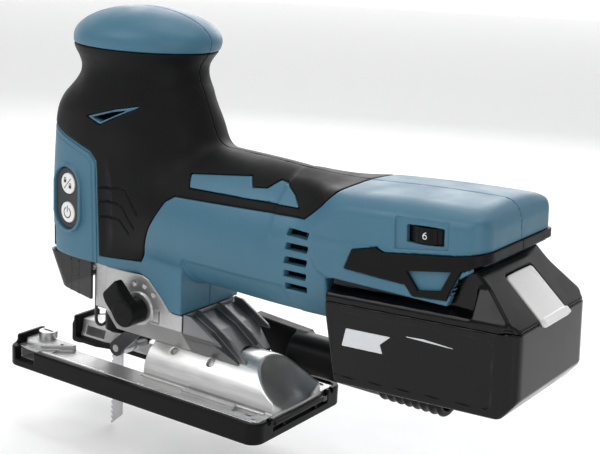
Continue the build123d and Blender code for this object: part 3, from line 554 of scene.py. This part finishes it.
def band(x, y, z):
    u, w = level(x, z)
    side = np.maximum(plan(u, y, 1.15), -plan(u, y, -0.8))
    outline = np.maximum(poly(x, z, BAND_LINE), -poly(x, z, BAND_FLAT))
    return smax(extrude(outline, side, 0.45), y + 0.1, 0.3)


build("shell_left", teal_shell, (-40, -36, 48), (236, 0.5, 200), SHELL_STEP, "housing", TEAL, "teal_shell",
      ("housing_left", "accent_trims_left"), ("shell_right", ("housing_right", "accent_trims_right")))
build("grip_skin_left", grip_skin, (-40, -34, 62), (160, 0.5, 180), SHELL_STEP, "housing", GRIP, "black_grip",
      ("grip_cover_left",), ("grip_skin_right", ("grip_cover_right",)))
build("nose_left", nose_panel, (-41, -32, 63), (8, 0.5, 139), 0.55, "housing", TEAL, "teal_shell",
      ("nose_panel",), ("nose_right", ()))
build("deck_band_left", band, (160, -37.5, 91), (236, 0.5, 121), 0.5, "housing", BLACK, "black_plastic",
      ("rubber_band",), ("deck_band_right", ()))


def window_blank(x, y, z):
    """The dial has a window on the left only: this fills the mirrored one, flush with the shell."""
    u, w = level(x, z)
    plate = poly(u, w, ((190.7, 112.7), (190.7, 126.5), (216.1, 126.5), (216.1, 115.5)))
    return smax(body(x, y, z), extrude(plate, slab(y, 31.6, 50.0), 0.2), 0.4)


build("window_blank_right", window_blank, (183, 31, 108), (216, 37, 130), 0.45, "housing", TEAL, "teal_shell")


# ---- battery ------------------------------------------------------------
BATTERY_LINE = ((161.0, 47.9), (163.0, 46.6), (243.0, 46.6), (250.4, 55.0), (250.4, 84.0), (233.2, 101.2),
                (227.4, 107.0), (222.0, 107.0), (221.0, 105.6), (156.1, 105.6), (156.1, 79.0))


def battery(x, y, z):
    u, w = level(x, z)
    side = extrude(rect(u, y, (100.0, 250.4), (-37.4, 37.4), 7.5), poly(u, w, BATTERY_LINE), 1.4)
    t = np.abs(y)
    slider = poly(t, w, ((-60, 30), (37.4, 30), (37.4, 86.6), (36.4, 88.0), (30.3, 90.3), (30.3, 115),
                         (-60, 115)))
    hump = poly(t, w, ((-60, 30), (37.4, 30), (37.4, 87.4), (36.0, 89.6), (27.0, 107.2), (-60, 107.2)))
    rear = smax(hump, 228.3 - u, 1.5)
    block = smax(side, smin(slider, rear, 0.8), 1.2)
    column = np.hypot(u - 246.5, t - 38.2) - 4.2
    block = cut(block, smax(column, w - 86.0, 2.0), 1.4)
    panel = rect(u, w, (160.5, 239.0), (50.5, 80.5), 3.0)
    block = cut(block, extrude(panel, 37.0 - t, 0.1), 0.5)
    keyway = smax(np.abs(t - 29.3) - 1.7, np.maximum(np.abs(w - 97.6) - 1.6, u - 219.0), 0.3)
    return cut(block, keyway, 0.3)


def shoulder_space(x, y, z):
    """Coordinates on the battery's rear slope: down the slope, and out of it."""
    u, w = level(x, z)
    angle = math.atan2(101.5 - 84.0, 250.5 - 232.5)
    du, dw = u - 241.5, w - 92.75
    c, s = math.cos(angle), math.sin(angle)
    return du * c - dw * s, du * s + dw * c


def battery_lower(x, y, z):
    w = level(x, z)[1]
    return smax(smax(battery(x, y, z), w - 83.9, 0.5), -(battery(x, y, z) + 3.0), 0.4)


def battery_upper(x, y, z):
    u, w = level(x, z)
    form = battery(x, y, z)
    shell = smax(smax(form, 84.1 - w, 0.5), -(form + 3.4), 0.4)
    down, out = shoulder_space(x, y, z)
    well = extrude(rect(down, y, (-13.4, 14.9), (-13.2, 13.2), 1.6), np.abs(out) - 4.5, 0.3)
    shell = cut(np.minimum(shell, smax(form, well - 2.0, 0.3)), well, 0.7)
    return cut(shell, box(u, y, w, (150, 198.5), (-15, 15), (101.5, 110), 0.3), 0.4)


def release(x, y, z):
    down, out = shoulder_space(x, y, z)
    crown = out - 1.25 + 0.004 * y**2
    form = extrude(rect(down, y, (-12.8, 14.3), (-12.7, 12.7), 2.2), np.maximum(crown, -1.7 - out), 0.7)
    lip = extrude(rect(down, y, (10.8, 14.3), (-12.7, 12.7), 1.0), np.abs(out - 0.4) - 1.3, 0.5)
    return smin(form, lip, 0.8)


build("battery_case_lower", battery_lower, (153, -38, 43), (253, 38, 88), 0.8, "battery", GLOSS,
      "black_plastic", ("battery_lower_case",))
build("battery_case_upper", battery_upper, (150, -38, 80), (253, 38, 110), 0.7, "battery", GLOSS,
      "black_plastic", ("battery_upper_case",))
build("battery_release", release, (226, -13.5, 76), (256, 13.5, 108), 0.45, "release", WHITE,
      "white_plastic", ("release_button",))


def side_label(x, y, z):
    u, w = level(x, z)
    bar = poly(u, w, ((165.5, 64.8), (167.6, 73.2), (190.5, 73.2), (185.2, 68.8), (186.5, 64.8)))
    rule = poly(u, w, ((194.0, 74.9), (221.0, 73.6), (221.0, 73.9), (207.0, 75.3)))
    flat = np.minimum(bar, rule)
    return extrude(flat, slab(y, -37.15, -36.6), 0.05)


build("battery_label_left", side_label, (163, -38, 60), (223, -36, 78), 0.35, "battery", PALE_INK,
      "white_plastic")


# ---- switches -----------------------------------------------------------
def pad_form(x, y, z):
    a, inward, c = pad_space(x, y, z)
    form = extrude(oval(a, c, 9.4, 16.4), slab(inward, -0.5, 4.5), 0.6)
    for step in (1, -1):
        form = cut(form, smax(disc(a, c, 0, step * BUTTON_RISE, 5.85), inward - 3.6, 0.2), 0.4)
    return form


def button_form(step):
    def field(x, y, z):
        a, inward, c = pad_space(x, y, z)
        dish = -0.9 + 0.006 * (a**2 + (c - step * BUTTON_RISE) ** 2) - inward
        return extrude(disc(a, c, 0, step * BUTTON_RISE, 5.55), np.maximum(dish, inward - 2.6), 0.5)
    return field


def power_mark(x, y, z):
    a, inward, c = pad_space(x, y, z)
    ring = np.abs(disc(a, c, 0, -7.9, 2.7)) - 0.28
    ring = cut(ring, rect(a, c, (-1.0, 1.0), (-6.0, -2.0), 0.1), 0.1)
    stem = rect(a, c, (-0.28, 0.28), (-7.6, -4.2), 0.1)
    return extrude(np.minimum(ring, stem), slab(inward, -0.98, -0.6), 0.05)


def lock_mark(x, y, z):
    a, inward, c = pad_space(x, y, z)
    mark = line(a, c, ((-2.6, 4.8), (2.6, 10.6))) - 0.2
    for u, w in ((-2.0, 8.7), (2.1, 6.2)):
        case = rect(a, c, (u - 0.95, u + 0.95), (w - 0.8, w + 0.8), 0.1)
        bow = smax(np.abs(disc(a, c, u, w + 1.2, 0.7)) - 0.18, w + 0.6 - c, 0.1)
        mark = np.minimum(mark, np.minimum(case, bow))
    return extrude(mark, slab(inward, -0.98, -0.6), 0.05)


def on_side(field, side):
    """The field as it is on the left (1), or mirrored to the right (-1)."""
    return lambda x, y, z: field(x, y * side, z)


PAD_BOX = ((-27, -33, 79), (-3, -20, 115))
build("switch_pad_l", pad_form, *PAD_BOX, 0.4, "housing", PAD, "black_grip", ("switch_pad_left",),
      ("switch_pad_r", ("switch_pad_right",)))
for kind, step, mark in (("power", -1, power_mark), ("lock", 1, lock_mark)):
    for side, word in ((1, "left"), (-1, "right")):
        cap, icon = on_side(button_form(step), side), on_side(mark, side)
        y_span = sorted((side * -33, side * -20))
        z_span = (97 + step * BUTTON_RISE - 6.5, 97 + step * BUTTON_RISE + 6.5)
        lo, hi = (-22, y_span[0], z_span[0]), (-7, y_span[1], z_span[1])
        build(f"{kind}_cap_{word}", cap, lo, hi, 0.35, f"{kind}_{word}", WHITE, "white_plastic",
              (f"{kind}_button_{word}",))
        build(f"{kind}_mark_{word}", icon, lo, hi, 0.16, f"{kind}_{word}", INK, "black_plastic")


# ---- speed dial's numeral -----------------------------------------------
DIAL_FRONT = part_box("speed_dial")[0][1] / MM


def numeral(x, y, z):
    u, w = level(x, z)
    a, c = u - DIAL_U, w - DIAL_W
    ring = np.abs(disc(a, c, 0.0, -0.55, 0.85)) - 0.22
    stem = np.abs(disc(a, c, 1.0, -0.45, 1.9)) - 0.22
    stem = smax(stem, np.maximum(a - 0.75, -0.45 - c), 0.05)
    return extrude(np.minimum(ring, stem), slab(y, DIAL_FRONT - 0.05, DIAL_FRONT + 0.5), 0.03)


build("dial_numeral", numeral, (197, DIAL_FRONT - 0.6, 116), (204, DIAL_FRONT + 0.9, 124), 0.12, "dial",
      PALE_INK, "white_plastic")


# ---- gear housing and bracket -------------------------------------------
FOOT = 21.3
FLANK = ((-60, 20), (11.8, 20), (13.2, 26.5), (22.5, 40.0), (22.5, 64.6), (-60, 64.6))


def gear_case(x, y, z):
    t = np.abs(y)
    side = poly(x, z, ((9.2, 25), (9.2, 64.4), (34.7, 64.4), (38.6, 62.8), (47, 55.0), (53.3, 48.5),
                       (60.6, 48.5), (60.6, 25)))
    lower = extrude(side, poly(t, z, FLANK), 0.7)
    boss = extrude(disc(x, z, LEVER_X, LEVER_Z, 9.0), slab(y, -23.3, -15), 0.5)
    lower = smin(lower, boss, 0.5)
    square = np.abs(rect(x, z, (39.7, 46.3), (41.2, 47.8), 0.6)) - 0.25
    lower = np.minimum(lower, extrude(square, slab(y, -22.8, -20), 0.1))
    case = box(x, y, z, (-19, 33), (-18.4, 18.4), (59.6, 127), 2.0)
    tongue = box(x, y, z, (20, 57.5), (-16.9, 16.9), (45, 66.2), 0.5)
    form = np.minimum(lower, np.minimum(case, tongue))
    cheek = box(x, y * 0, z, (-2.0, 10.0), (-1, 1), (38.5, 60.5), 0.6)
    form = smin(form, extrude(cheek, slab(t, 12.6, 18.2), 0.5), 0.5)
    form = smax(form, FOOT - np.hypot(y, z - SADDLE_Z), 0.4)
    form = cut(form, box(x, y, z, (0, 31), (-12.2, 12.2), (10, 50), 0.8), 0.5)
    form = cut(form, box(x, y, z, (-16, 30), (-15.5, 15.5), (67.2, 124), 1.0), 0.3)
    form = cut(form, disc(x, y, 0, 0, 8.0), 0.3)
    form = cut(form, smax(disc(x, z, LEVER_X, LEVER_Z, 3.05), y, 0.1), 0.2)
    for angle in LEVER_ANGLES[1:]:
        dx, dz = 13.5 * math.sin(math.radians(angle)), 13.5 * math.cos(math.radians(angle))
        pit = np.sqrt((x - LEVER_X - dx) ** 2 + (y + 22.6) ** 2 + (z - LEVER_Z - dz) ** 2) - 1.35
        form = cut(form, pit, 0.3)
    return form


RIBS = (-21.0, -11.5, 6.0, 21.0)


def bracket(x, y, z):
    t = np.abs(y)
    web = poly(x, z, ((61.2, 22), (61.2, 46.5), (74, 40.6), (90, 29.3), (93, 22)))
    rib = poly(x, z, ((61.2, 22), (61.2, 49.3), (66, 49.0), (84, 38.6), (94.2, 29.8), (94.2, 22)))
    form = extrude(web, t - 20.0, 0.6)
    for at in RIBS:
        form = smin(form, extrude(rib, np.abs(y - at) - 0.85, 0.25), 0.5)
    flank = ((-60, 10), (11.8, 10), (13.2, 26.5), (22.4, 40.0), (22.4, 60), (-60, 60))
    form = smax(form, poly(t, z, flank), 0.5)
    return smax(form, FOOT - np.hypot(y, z - SADDLE_Z), 0.4)


build("gear_case", gear_case, (-20, -24, 20), (62, 24, 128), 0.75, "housing", ALLOY, "aluminium_cast",
      ("gear_housing",))
# The ribbed bracket's dark grey is partly its own colour and partly painted shade.
build("ribbed_bracket", bracket, (60, -24, 20), (96, 24, 51), 0.5, "housing", DARK_CAST_AND_SHADE, "dark_metal",
      ("rear_bracket",))


def lever(x, y, z):
    boss = extrude(disc(x, z, LEVER_X, LEVER_Z, 7.0), slab(y, -35.3, -23.4), 1.0)
    angle = math.radians(LEVER_ANGLES[0])
    along = (x - LEVER_X) * math.sin(angle) + (z - LEVER_Z) * math.cos(angle)
    across = (x - LEVER_X) * math.cos(angle) - (z - LEVER_Z) * math.sin(angle)
    arm = extrude(rect(across, along, (-6.5, 6.5), (0.0, 16.6), 1.8), slab(y, -35.3, -28.0), 1.4)
    arm = smax(arm, (-y - 35.3) * 0.93 + (along - 11.0) * 0.36, 1.0)
    form = smin(boss, arm, 1.0)
    return cut(form, smax(disc(x, z, LEVER_X, LEVER_Z, 3.0), slab(y, -24.1, -20), 0.1), 0.2)


build("selector_lever", lever, (11, -36.5, 37), (41, -22.5, 69), 0.4, "orbital_selector", BLACK,
      "black_plastic", ("orbital_lever",))


# ---- guards at the nose -------------------------------------------------
def smoke_cover(x, y, z):
    t = np.abs(y)
    outline = poly(x, z, ((-36.0, 64.5), (-34.6, 60.5), (-26.4, 46.2), (-3.0, 42.5), (-3.0, 64.5)))
    corner = rect(x + 0.50 * (z - 46.2), y, (-26.4, 40), (-20.8, 20.8), 6.0)
    outer = smax(extrude(outline, t - 20.8, 0.4), corner, 0.6)
    hollow = poly(x, z, ((-33.6, 70), (-32.4, 60), (-24.2, 47.6), (-24.2, 30), (30, 30), (30, 70)))
    inner = extrude(hollow, t - 18.9, 2.0)
    rib = np.minimum(np.abs(x + 12.0), np.abs(x + 17.5)) - 0.45
    ribs = smax(smax(rib, np.abs(t - 21.0) - 0.35, 0.1), np.abs(z - 51) - 11, 0.2)
    return smin(cut(outer, inner, 0.3), smax(ribs, outer - 0.3, 0.1), 0.3)


def wire_guard(x, y, z):
    t = np.abs(y)
    leg = np.hypot(np.hypot(x + 13.4, t - 5.2), np.maximum(np.maximum(z - 58.5, 26.0 - z), 0)) - 0.9
    loop = np.hypot(np.hypot(y, np.minimum(z - 26.0, 0)) - 5.2, x + 13.4) - 0.9
    loop = np.maximum(loop, z - 27.0)
    foot = box(x, y, z, (-14.3, -12.5), (-6.1, 6.1), (57.0, 59.4), 0.4)
    return np.minimum(np.minimum(leg, loop), foot)


build("blade_cover", smoke_cover, (-37, -21.6, 36), (-2, 21.6, 65), 0.55, "cover", SMOKE, "smoke_clear",
      ("dust_cover",))
build("wire_guard", wire_guard, (-15, -7, 19), (-12, 7, 60), 0.35, "housing", BLACKENED, "zinc",
      ("finger_guard",))


# ---- base ---------------------------------------------------------------
def base(x, y, z):
    t = np.abs(y)
    sheet = extrude(rect(x, y, (-45.0, 118.0), (-33.5, 33.5), 2.0), slab(z, 2.8, 10.3), 0.5)
    sheet = smax(sheet, (t + z) * 0.7071 - 30.35, 0.3)
    tray = rect(x, y, (-22.0, 114.0), (-31.2, 31.2), 2.0)
    sheet = cut(sheet, extrude(tray, slab(z, 9.6, 20), 0.1), 0.4)
    hump = smax(np.hypot(y, z - SADDLE_Z) - SADDLE, 34.9 - x, 0.4)
    hump = smax(hump, np.maximum(x - 117.9, 3.0 - z), 0.4)
    scoop = np.sqrt((x - 131.0) ** 2 + y**2 + (z - 38.0) ** 2) - 32.0
    hump = cut(hump, scoop, 1.6)
    form = smin(sheet, hump, 1.8)
    for side in (-1, 1):
        s = y * side
        prong = poly(x, s, ((-45, 11.4), (-45, 26.5), (-40, 31.0), (-30, 31.0), (-23.5, 26), (-16, 20.0),
                            (-16, 15), (-22, 11.4)))
        block = extrude(prong, slab(z, 3.0, 12.8), 0.7)
        form = smin(form, block, 0.8)
    window = extrude(rect(x, y, (-26.0, 36.0), (-16.0, 16.0), 2.0), slab(z, 0, 60), 0.2)
    throat = poly(x, t, ((-60, -5), (-60, 11.0), (-30, 11.0), (-17, 16.0), (-10, 16.0), (-10, -5)))
    form = cut(form, window, 0.5)
    form = cut(form, smax(throat, -z, 0.2), 0.5)
    form = cut(form, extrude(rect(x, z, (-41.5, -27.5), (4.2, 8.9), 0.5), t - 60, 0.1), 0.3)
    tunnel = np.hypot(y, z - SADDLE_Z) - 17.6
    form = cut(form, smax(tunnel, x - 96.0, 1.0), 0.4)
    form = cut(form, box(x, y, z, (33, 109), (-14, 14), (-4, 8), 0.5), 0.4)
    form = cut(form, extrude(rect(x, y, (50, 86), (-4.2, 4.2), 2.0), slab(z, 20, 40), 0.1), 0.3)
    around = (np.arctan2(y, z - SADDLE_Z) + 0.80) * SADDLE
    notch = np.minimum(rect(x, around, (72.5, 76.0), (-2.6, 2.6), 1.4), disc(x, around, 50.5, 0.0, 2.1))
    form = cut(form, smax(notch, 19.0 - np.hypot(y, z - SADDLE_Z), 0.2), 0.4)
    rail = extrude(rect(x, y, (64.0, 99.0), (-25.2, -22.6), 0.4), slab(z, 9, 11.2), 0.4)
    form = smin(form, rail, 0.5)
    form = cut(form, extrude(rect(x, y, (97.5, 109.5), (-26.6, -21.6), 0.5), slab(z, 8.6, 20), 0.1), 0.3)
    for cx, cy, r in ((106, 24.8, 1.6), (106, -24.8, 1.6), (112.5, -29.0, 0.9), (-22, -22.5, 1.0),
                      (-36.5, -18.5, 2.9)):
        form = cut(form, smax(disc(x, y, cx, cy, r), 4.0 - z, 0.1), 0.3)
    return form


def shoe(x, y, z):
    t = np.abs(y)
    wall = extrude(rect(x, y, (-48.0, 121.0), (-38.5, 38.5), 7.0), slab(z, 0, 11.0), 1.2)
    nose = extrude(rect(x, t, (-48.0, -41.0), (11.8, 32.0), 2.6), slab(z, 0, 15.3), 1.2)
    form = smin(wall, nose, 2.0)
    form = cut(form, extrude(rect(x, y, (-45.1, 118.1), (-33.6, 33.6), 1.0), slab(z, 2.8, 40), 0.2), 0.3)
    bevel = extrude(rect(x, y, (-26.0, 116.0), (-34.9, 34.9), 1.0), slab(z, 9.9, 40), 0.2)
    form = cut(form, bevel, 0.3)
    throat = poly(x, t, ((-80, -5), (-80, 12.0), (-30, 12.0), (-17, 16.0), (35, 16.0), (35, -5)))
    form = cut(form, smax(throat, z - 40, 0.3), 0.5)
    form = cut(form, extrude(rect(x, z, (-41.5, -27.5), (4.2, 30), 0.6), t - 60, 0.2), 0.4)
    form = cut(form, extrude(rect(x, y, (60, 84), (-9, 9), 2.0), slab(z, -3, 5), 0.2), 0.3)
    form = cut(form, box(x, y, z, (118.0, 130), (-24, 24), (4.4, 30), 0.4), 0.4)
    seat = smax(np.abs(t - 27.5) - 1.2, np.maximum(8.9 - z, 112.0 - x), 0.2)
    form = cut(form, seat, 0.3)
    rib = smax(np.abs(np.abs(y) - 14.0) - 0.8, np.maximum(np.abs(x - 118.9) - 1.6, z - 8.2), 0.2)
    return np.minimum(form, smax(rib, 1.0 - z, 0.2))


casting = build("base_casting", base, (-46, -34.5, 2.5), (119, 34.5, 33), 0.62, "base", ALLOY,
                "aluminium_cast", ("base_plate",))


def machine(thing, material, test):
    """Give the faces that test picks, from their centre and normal, a machined surface."""
    thing.data.materials.append(material)
    faces = thing.data.polygons
    centre, facing = np.empty(len(faces) * 3), np.empty(len(faces) * 3)
    faces.foreach_get("center", centre)
    faces.foreach_get("normal", facing)
    chosen = test(*(centre.reshape(-1, 3).T / MM), *facing.reshape(-1, 3).T)
    index = np.empty(len(faces), dtype=np.int32)
    faces.foreach_get("material_index", index)
    last = len(thing.data.materials) - 1
    faces.foreach_set("material_index", np.where(chosen, last, index).astype(np.int32))



def on_saddle(x, y, z, nx, ny, nz):
    return (np.abs(np.hypot(y, z - SADDLE_Z) - SADDLE) < 0.3) & (z > 12.0) & (x > 35.2)


def on_edge(x, y, z, nx, ny, nz):
    return (np.abs(y) > 32.2) & (nz > 0.3) & (z > 8.0)


machine(casting, HUMP, on_saddle)
machine(casting, BRIGHT, on_edge)
build("shoe", shoe, (-49, -39, -0.5), (122, 39, 16.5), 0.62, "base", BLACK, "black_plastic", ("shoe_cover",))


def nozzle(x, y, z):
    r = np.hypot(y - 25.5, z - 27.5)
    rings = 0.55 * np.cos((x - 156.0) * 2 * math.pi / 4.6)
    collar = np.clip((x - 153.0) / 1.5, 0, 1)
    tube = smax(r - 10.5 - collar * (0.7 + rings), np.maximum(99.5 - x, x - 189.8), 0.6)
    duct = poly(x, z, ((70, 31), (70, 40.3), (104, 37.8), (108, 30), (104, 17), (92, 16)))
    duct = extrude(duct, slab(y, 25.0, 34.0), 2.0)
    form = smin(tube, duct, 2.5)
    form = cut(form, smax(r - 8.6, 102.0 - x, 0.4), 0.5)
    inner = poly(x, z, ((60, 32), (60, 38.2), (103, 35.8), (103, 19), (95, 19)))
    form = cut(form, extrude(inner, slab(y, 27.0, 32.0), 1.0), 0.4)
    lug = box(x, y, z, (86, 104), (26.5, 32.5), (10.6, 20), 0.6)
    return smin(form, lug, 1.0)


build("dust_spout", nozzle, (69, 13, 10.4), (191, 38, 42), 0.6, "nozzle", BLACK, "black_plastic",
      ("dust_nozzle",))


# ---- carried-over CAD nodes ---------------------------------------------
KEPT = {
    STEEL: ("gear_shaft", "orbital_shaft", "plunger_rod", "rotor_shaft", "fork_pin", "front_bearing",
            "rear_bearing", "roller_pin", "release_spring"),
    BLACKENED: ("base_bolt", "base_clamp_plate", "blade_clamp", "counterweight", "crank_gear",
                "hex_wrench", "housing_screws", "plunger_yoke", "roller_fork"),
    BLACK: ("bearing_holder", "clamp_sleeve", "fan", "speed_dial", "terminal_block"),
    BRONZE: ("lower_bush", "upper_bush"),
    STACK: ("stator", "rotor"),
    COPPER: ("stator_coils", "battery_contacts"),
    BOARD: ("controller_board",),
    WRAP: ("cells",),
    BLADE: ("blade",),
    ZINC: ("guide_roller", "guide_screw"),
    LENS: ("lamp",),
}
for material, names in KEPT.items():
    for name in names:
        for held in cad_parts[name].material_slots:
            held.material = material

# ---- stage --------------------------------------------------------------
def add_area(name, at, target, size, power, color=(1, 1, 1)):
    data = bpy.data.lights.new(name, "AREA")
    data.shape = "RECTANGLE"
    data.size, data.size_y = size
    data.energy = power
    data.color = color
    lamp = bpy.data.objects.new(name, data)
    bpy.context.scene.collection.objects.link(lamp)
    lamp.location = at
    lamp.rotation_euler = (Vector(target) - Vector(at)).to_track_quat("-Z", "Y").to_euler()
    return lamp


def add_camera():
    azimuth, elevation, roll = (math.radians(v) for v in (33.734, 14.628, 3.128))
    back = Vector((math.sin(azimuth) * math.cos(elevation), -math.cos(azimuth) * math.cos(elevation),
                   math.sin(elevation)))
    level_right = (-back).cross(Vector((0, 0, 1))).normalized()
    level_up = level_right.cross(-back)
    right = math.cos(roll) * level_right + math.sin(roll) * level_up
    up = -math.sin(roll) * level_right + math.cos(roll) * level_up
    data = bpy.data.cameras.new("view")
    data.sensor_width = 36.0
    data.lens = 76.66
    camera = bpy.data.objects.new("view", data)
    bpy.context.scene.collection.objects.link(camera)
    turn = Matrix((right, up, back)).transposed().to_4x4()
    camera.matrix_world = Matrix.Translation((0.44594, -0.49697, 0.25695)) @ turn
    bpy.context.scene.camera = camera


def add_sheet(name, points, glow):
    """A flat piece of pale studio paper, lit a little from within."""
    mesh = bpy.data.meshes.new(name)
    mesh.from_pydata(points, [], [(0, 1, 2, 3)])
    sheet = bpy.data.objects.new(name, mesh)
    bpy.context.scene.collection.objects.link(sheet)
    paper = finish(name + "_paper", (0.86, 0.86, 0.86), 0.8, grain=60, bump=0.0, spread=0.01, wear=0.0,
                   shine=0.1)
    shader = paper.node_tree.nodes["Principled BSDF"]
    shader.inputs["Emission Color"].default_value = (1, 1, 1, 1)
    shader.inputs["Emission Strength"].default_value = glow
    sheet.data.materials.append(paper)


FLOOR = -0.0362
add_sheet("floor", [(-6, -6, FLOOR), (6, -6, FLOOR), (6, 6, FLOOR), (-6, 6, FLOOR)], 0.20)
add_sheet("backdrop", [(-5.2, 0.2, FLOOR), (1.6, 4.4, FLOOR), (1.6, 4.4, 3), (-5.2, 0.2, 3)], 0.75)
centre = (0.10, 0.0, 0.09)
add_area("key", (-0.35, -0.75, 0.85), centre, (0.7, 0.7), 4.5)
add_area("side", (0.85, -0.65, 0.35), centre, (0.5, 0.8), 2.0)
add_area("top", (0.12, 0.15, 1.0), centre, (0.9, 0.6), 3.5)
add_area("rim", (-0.3, 0.8, 0.5), centre, (0.8, 0.5), 3.0)
world = bpy.data.worlds.new("studio")
bpy.context.scene.world = world
world.use_nodes = True
world.node_tree.nodes["Background"].inputs["Color"].default_value = (0.93, 0.94, 0.95, 1)
world.node_tree.nodes["Background"].inputs["Strength"].default_value = 0.42
bpy.context.scene.view_settings.view_transform = "Standard"
add_camera()
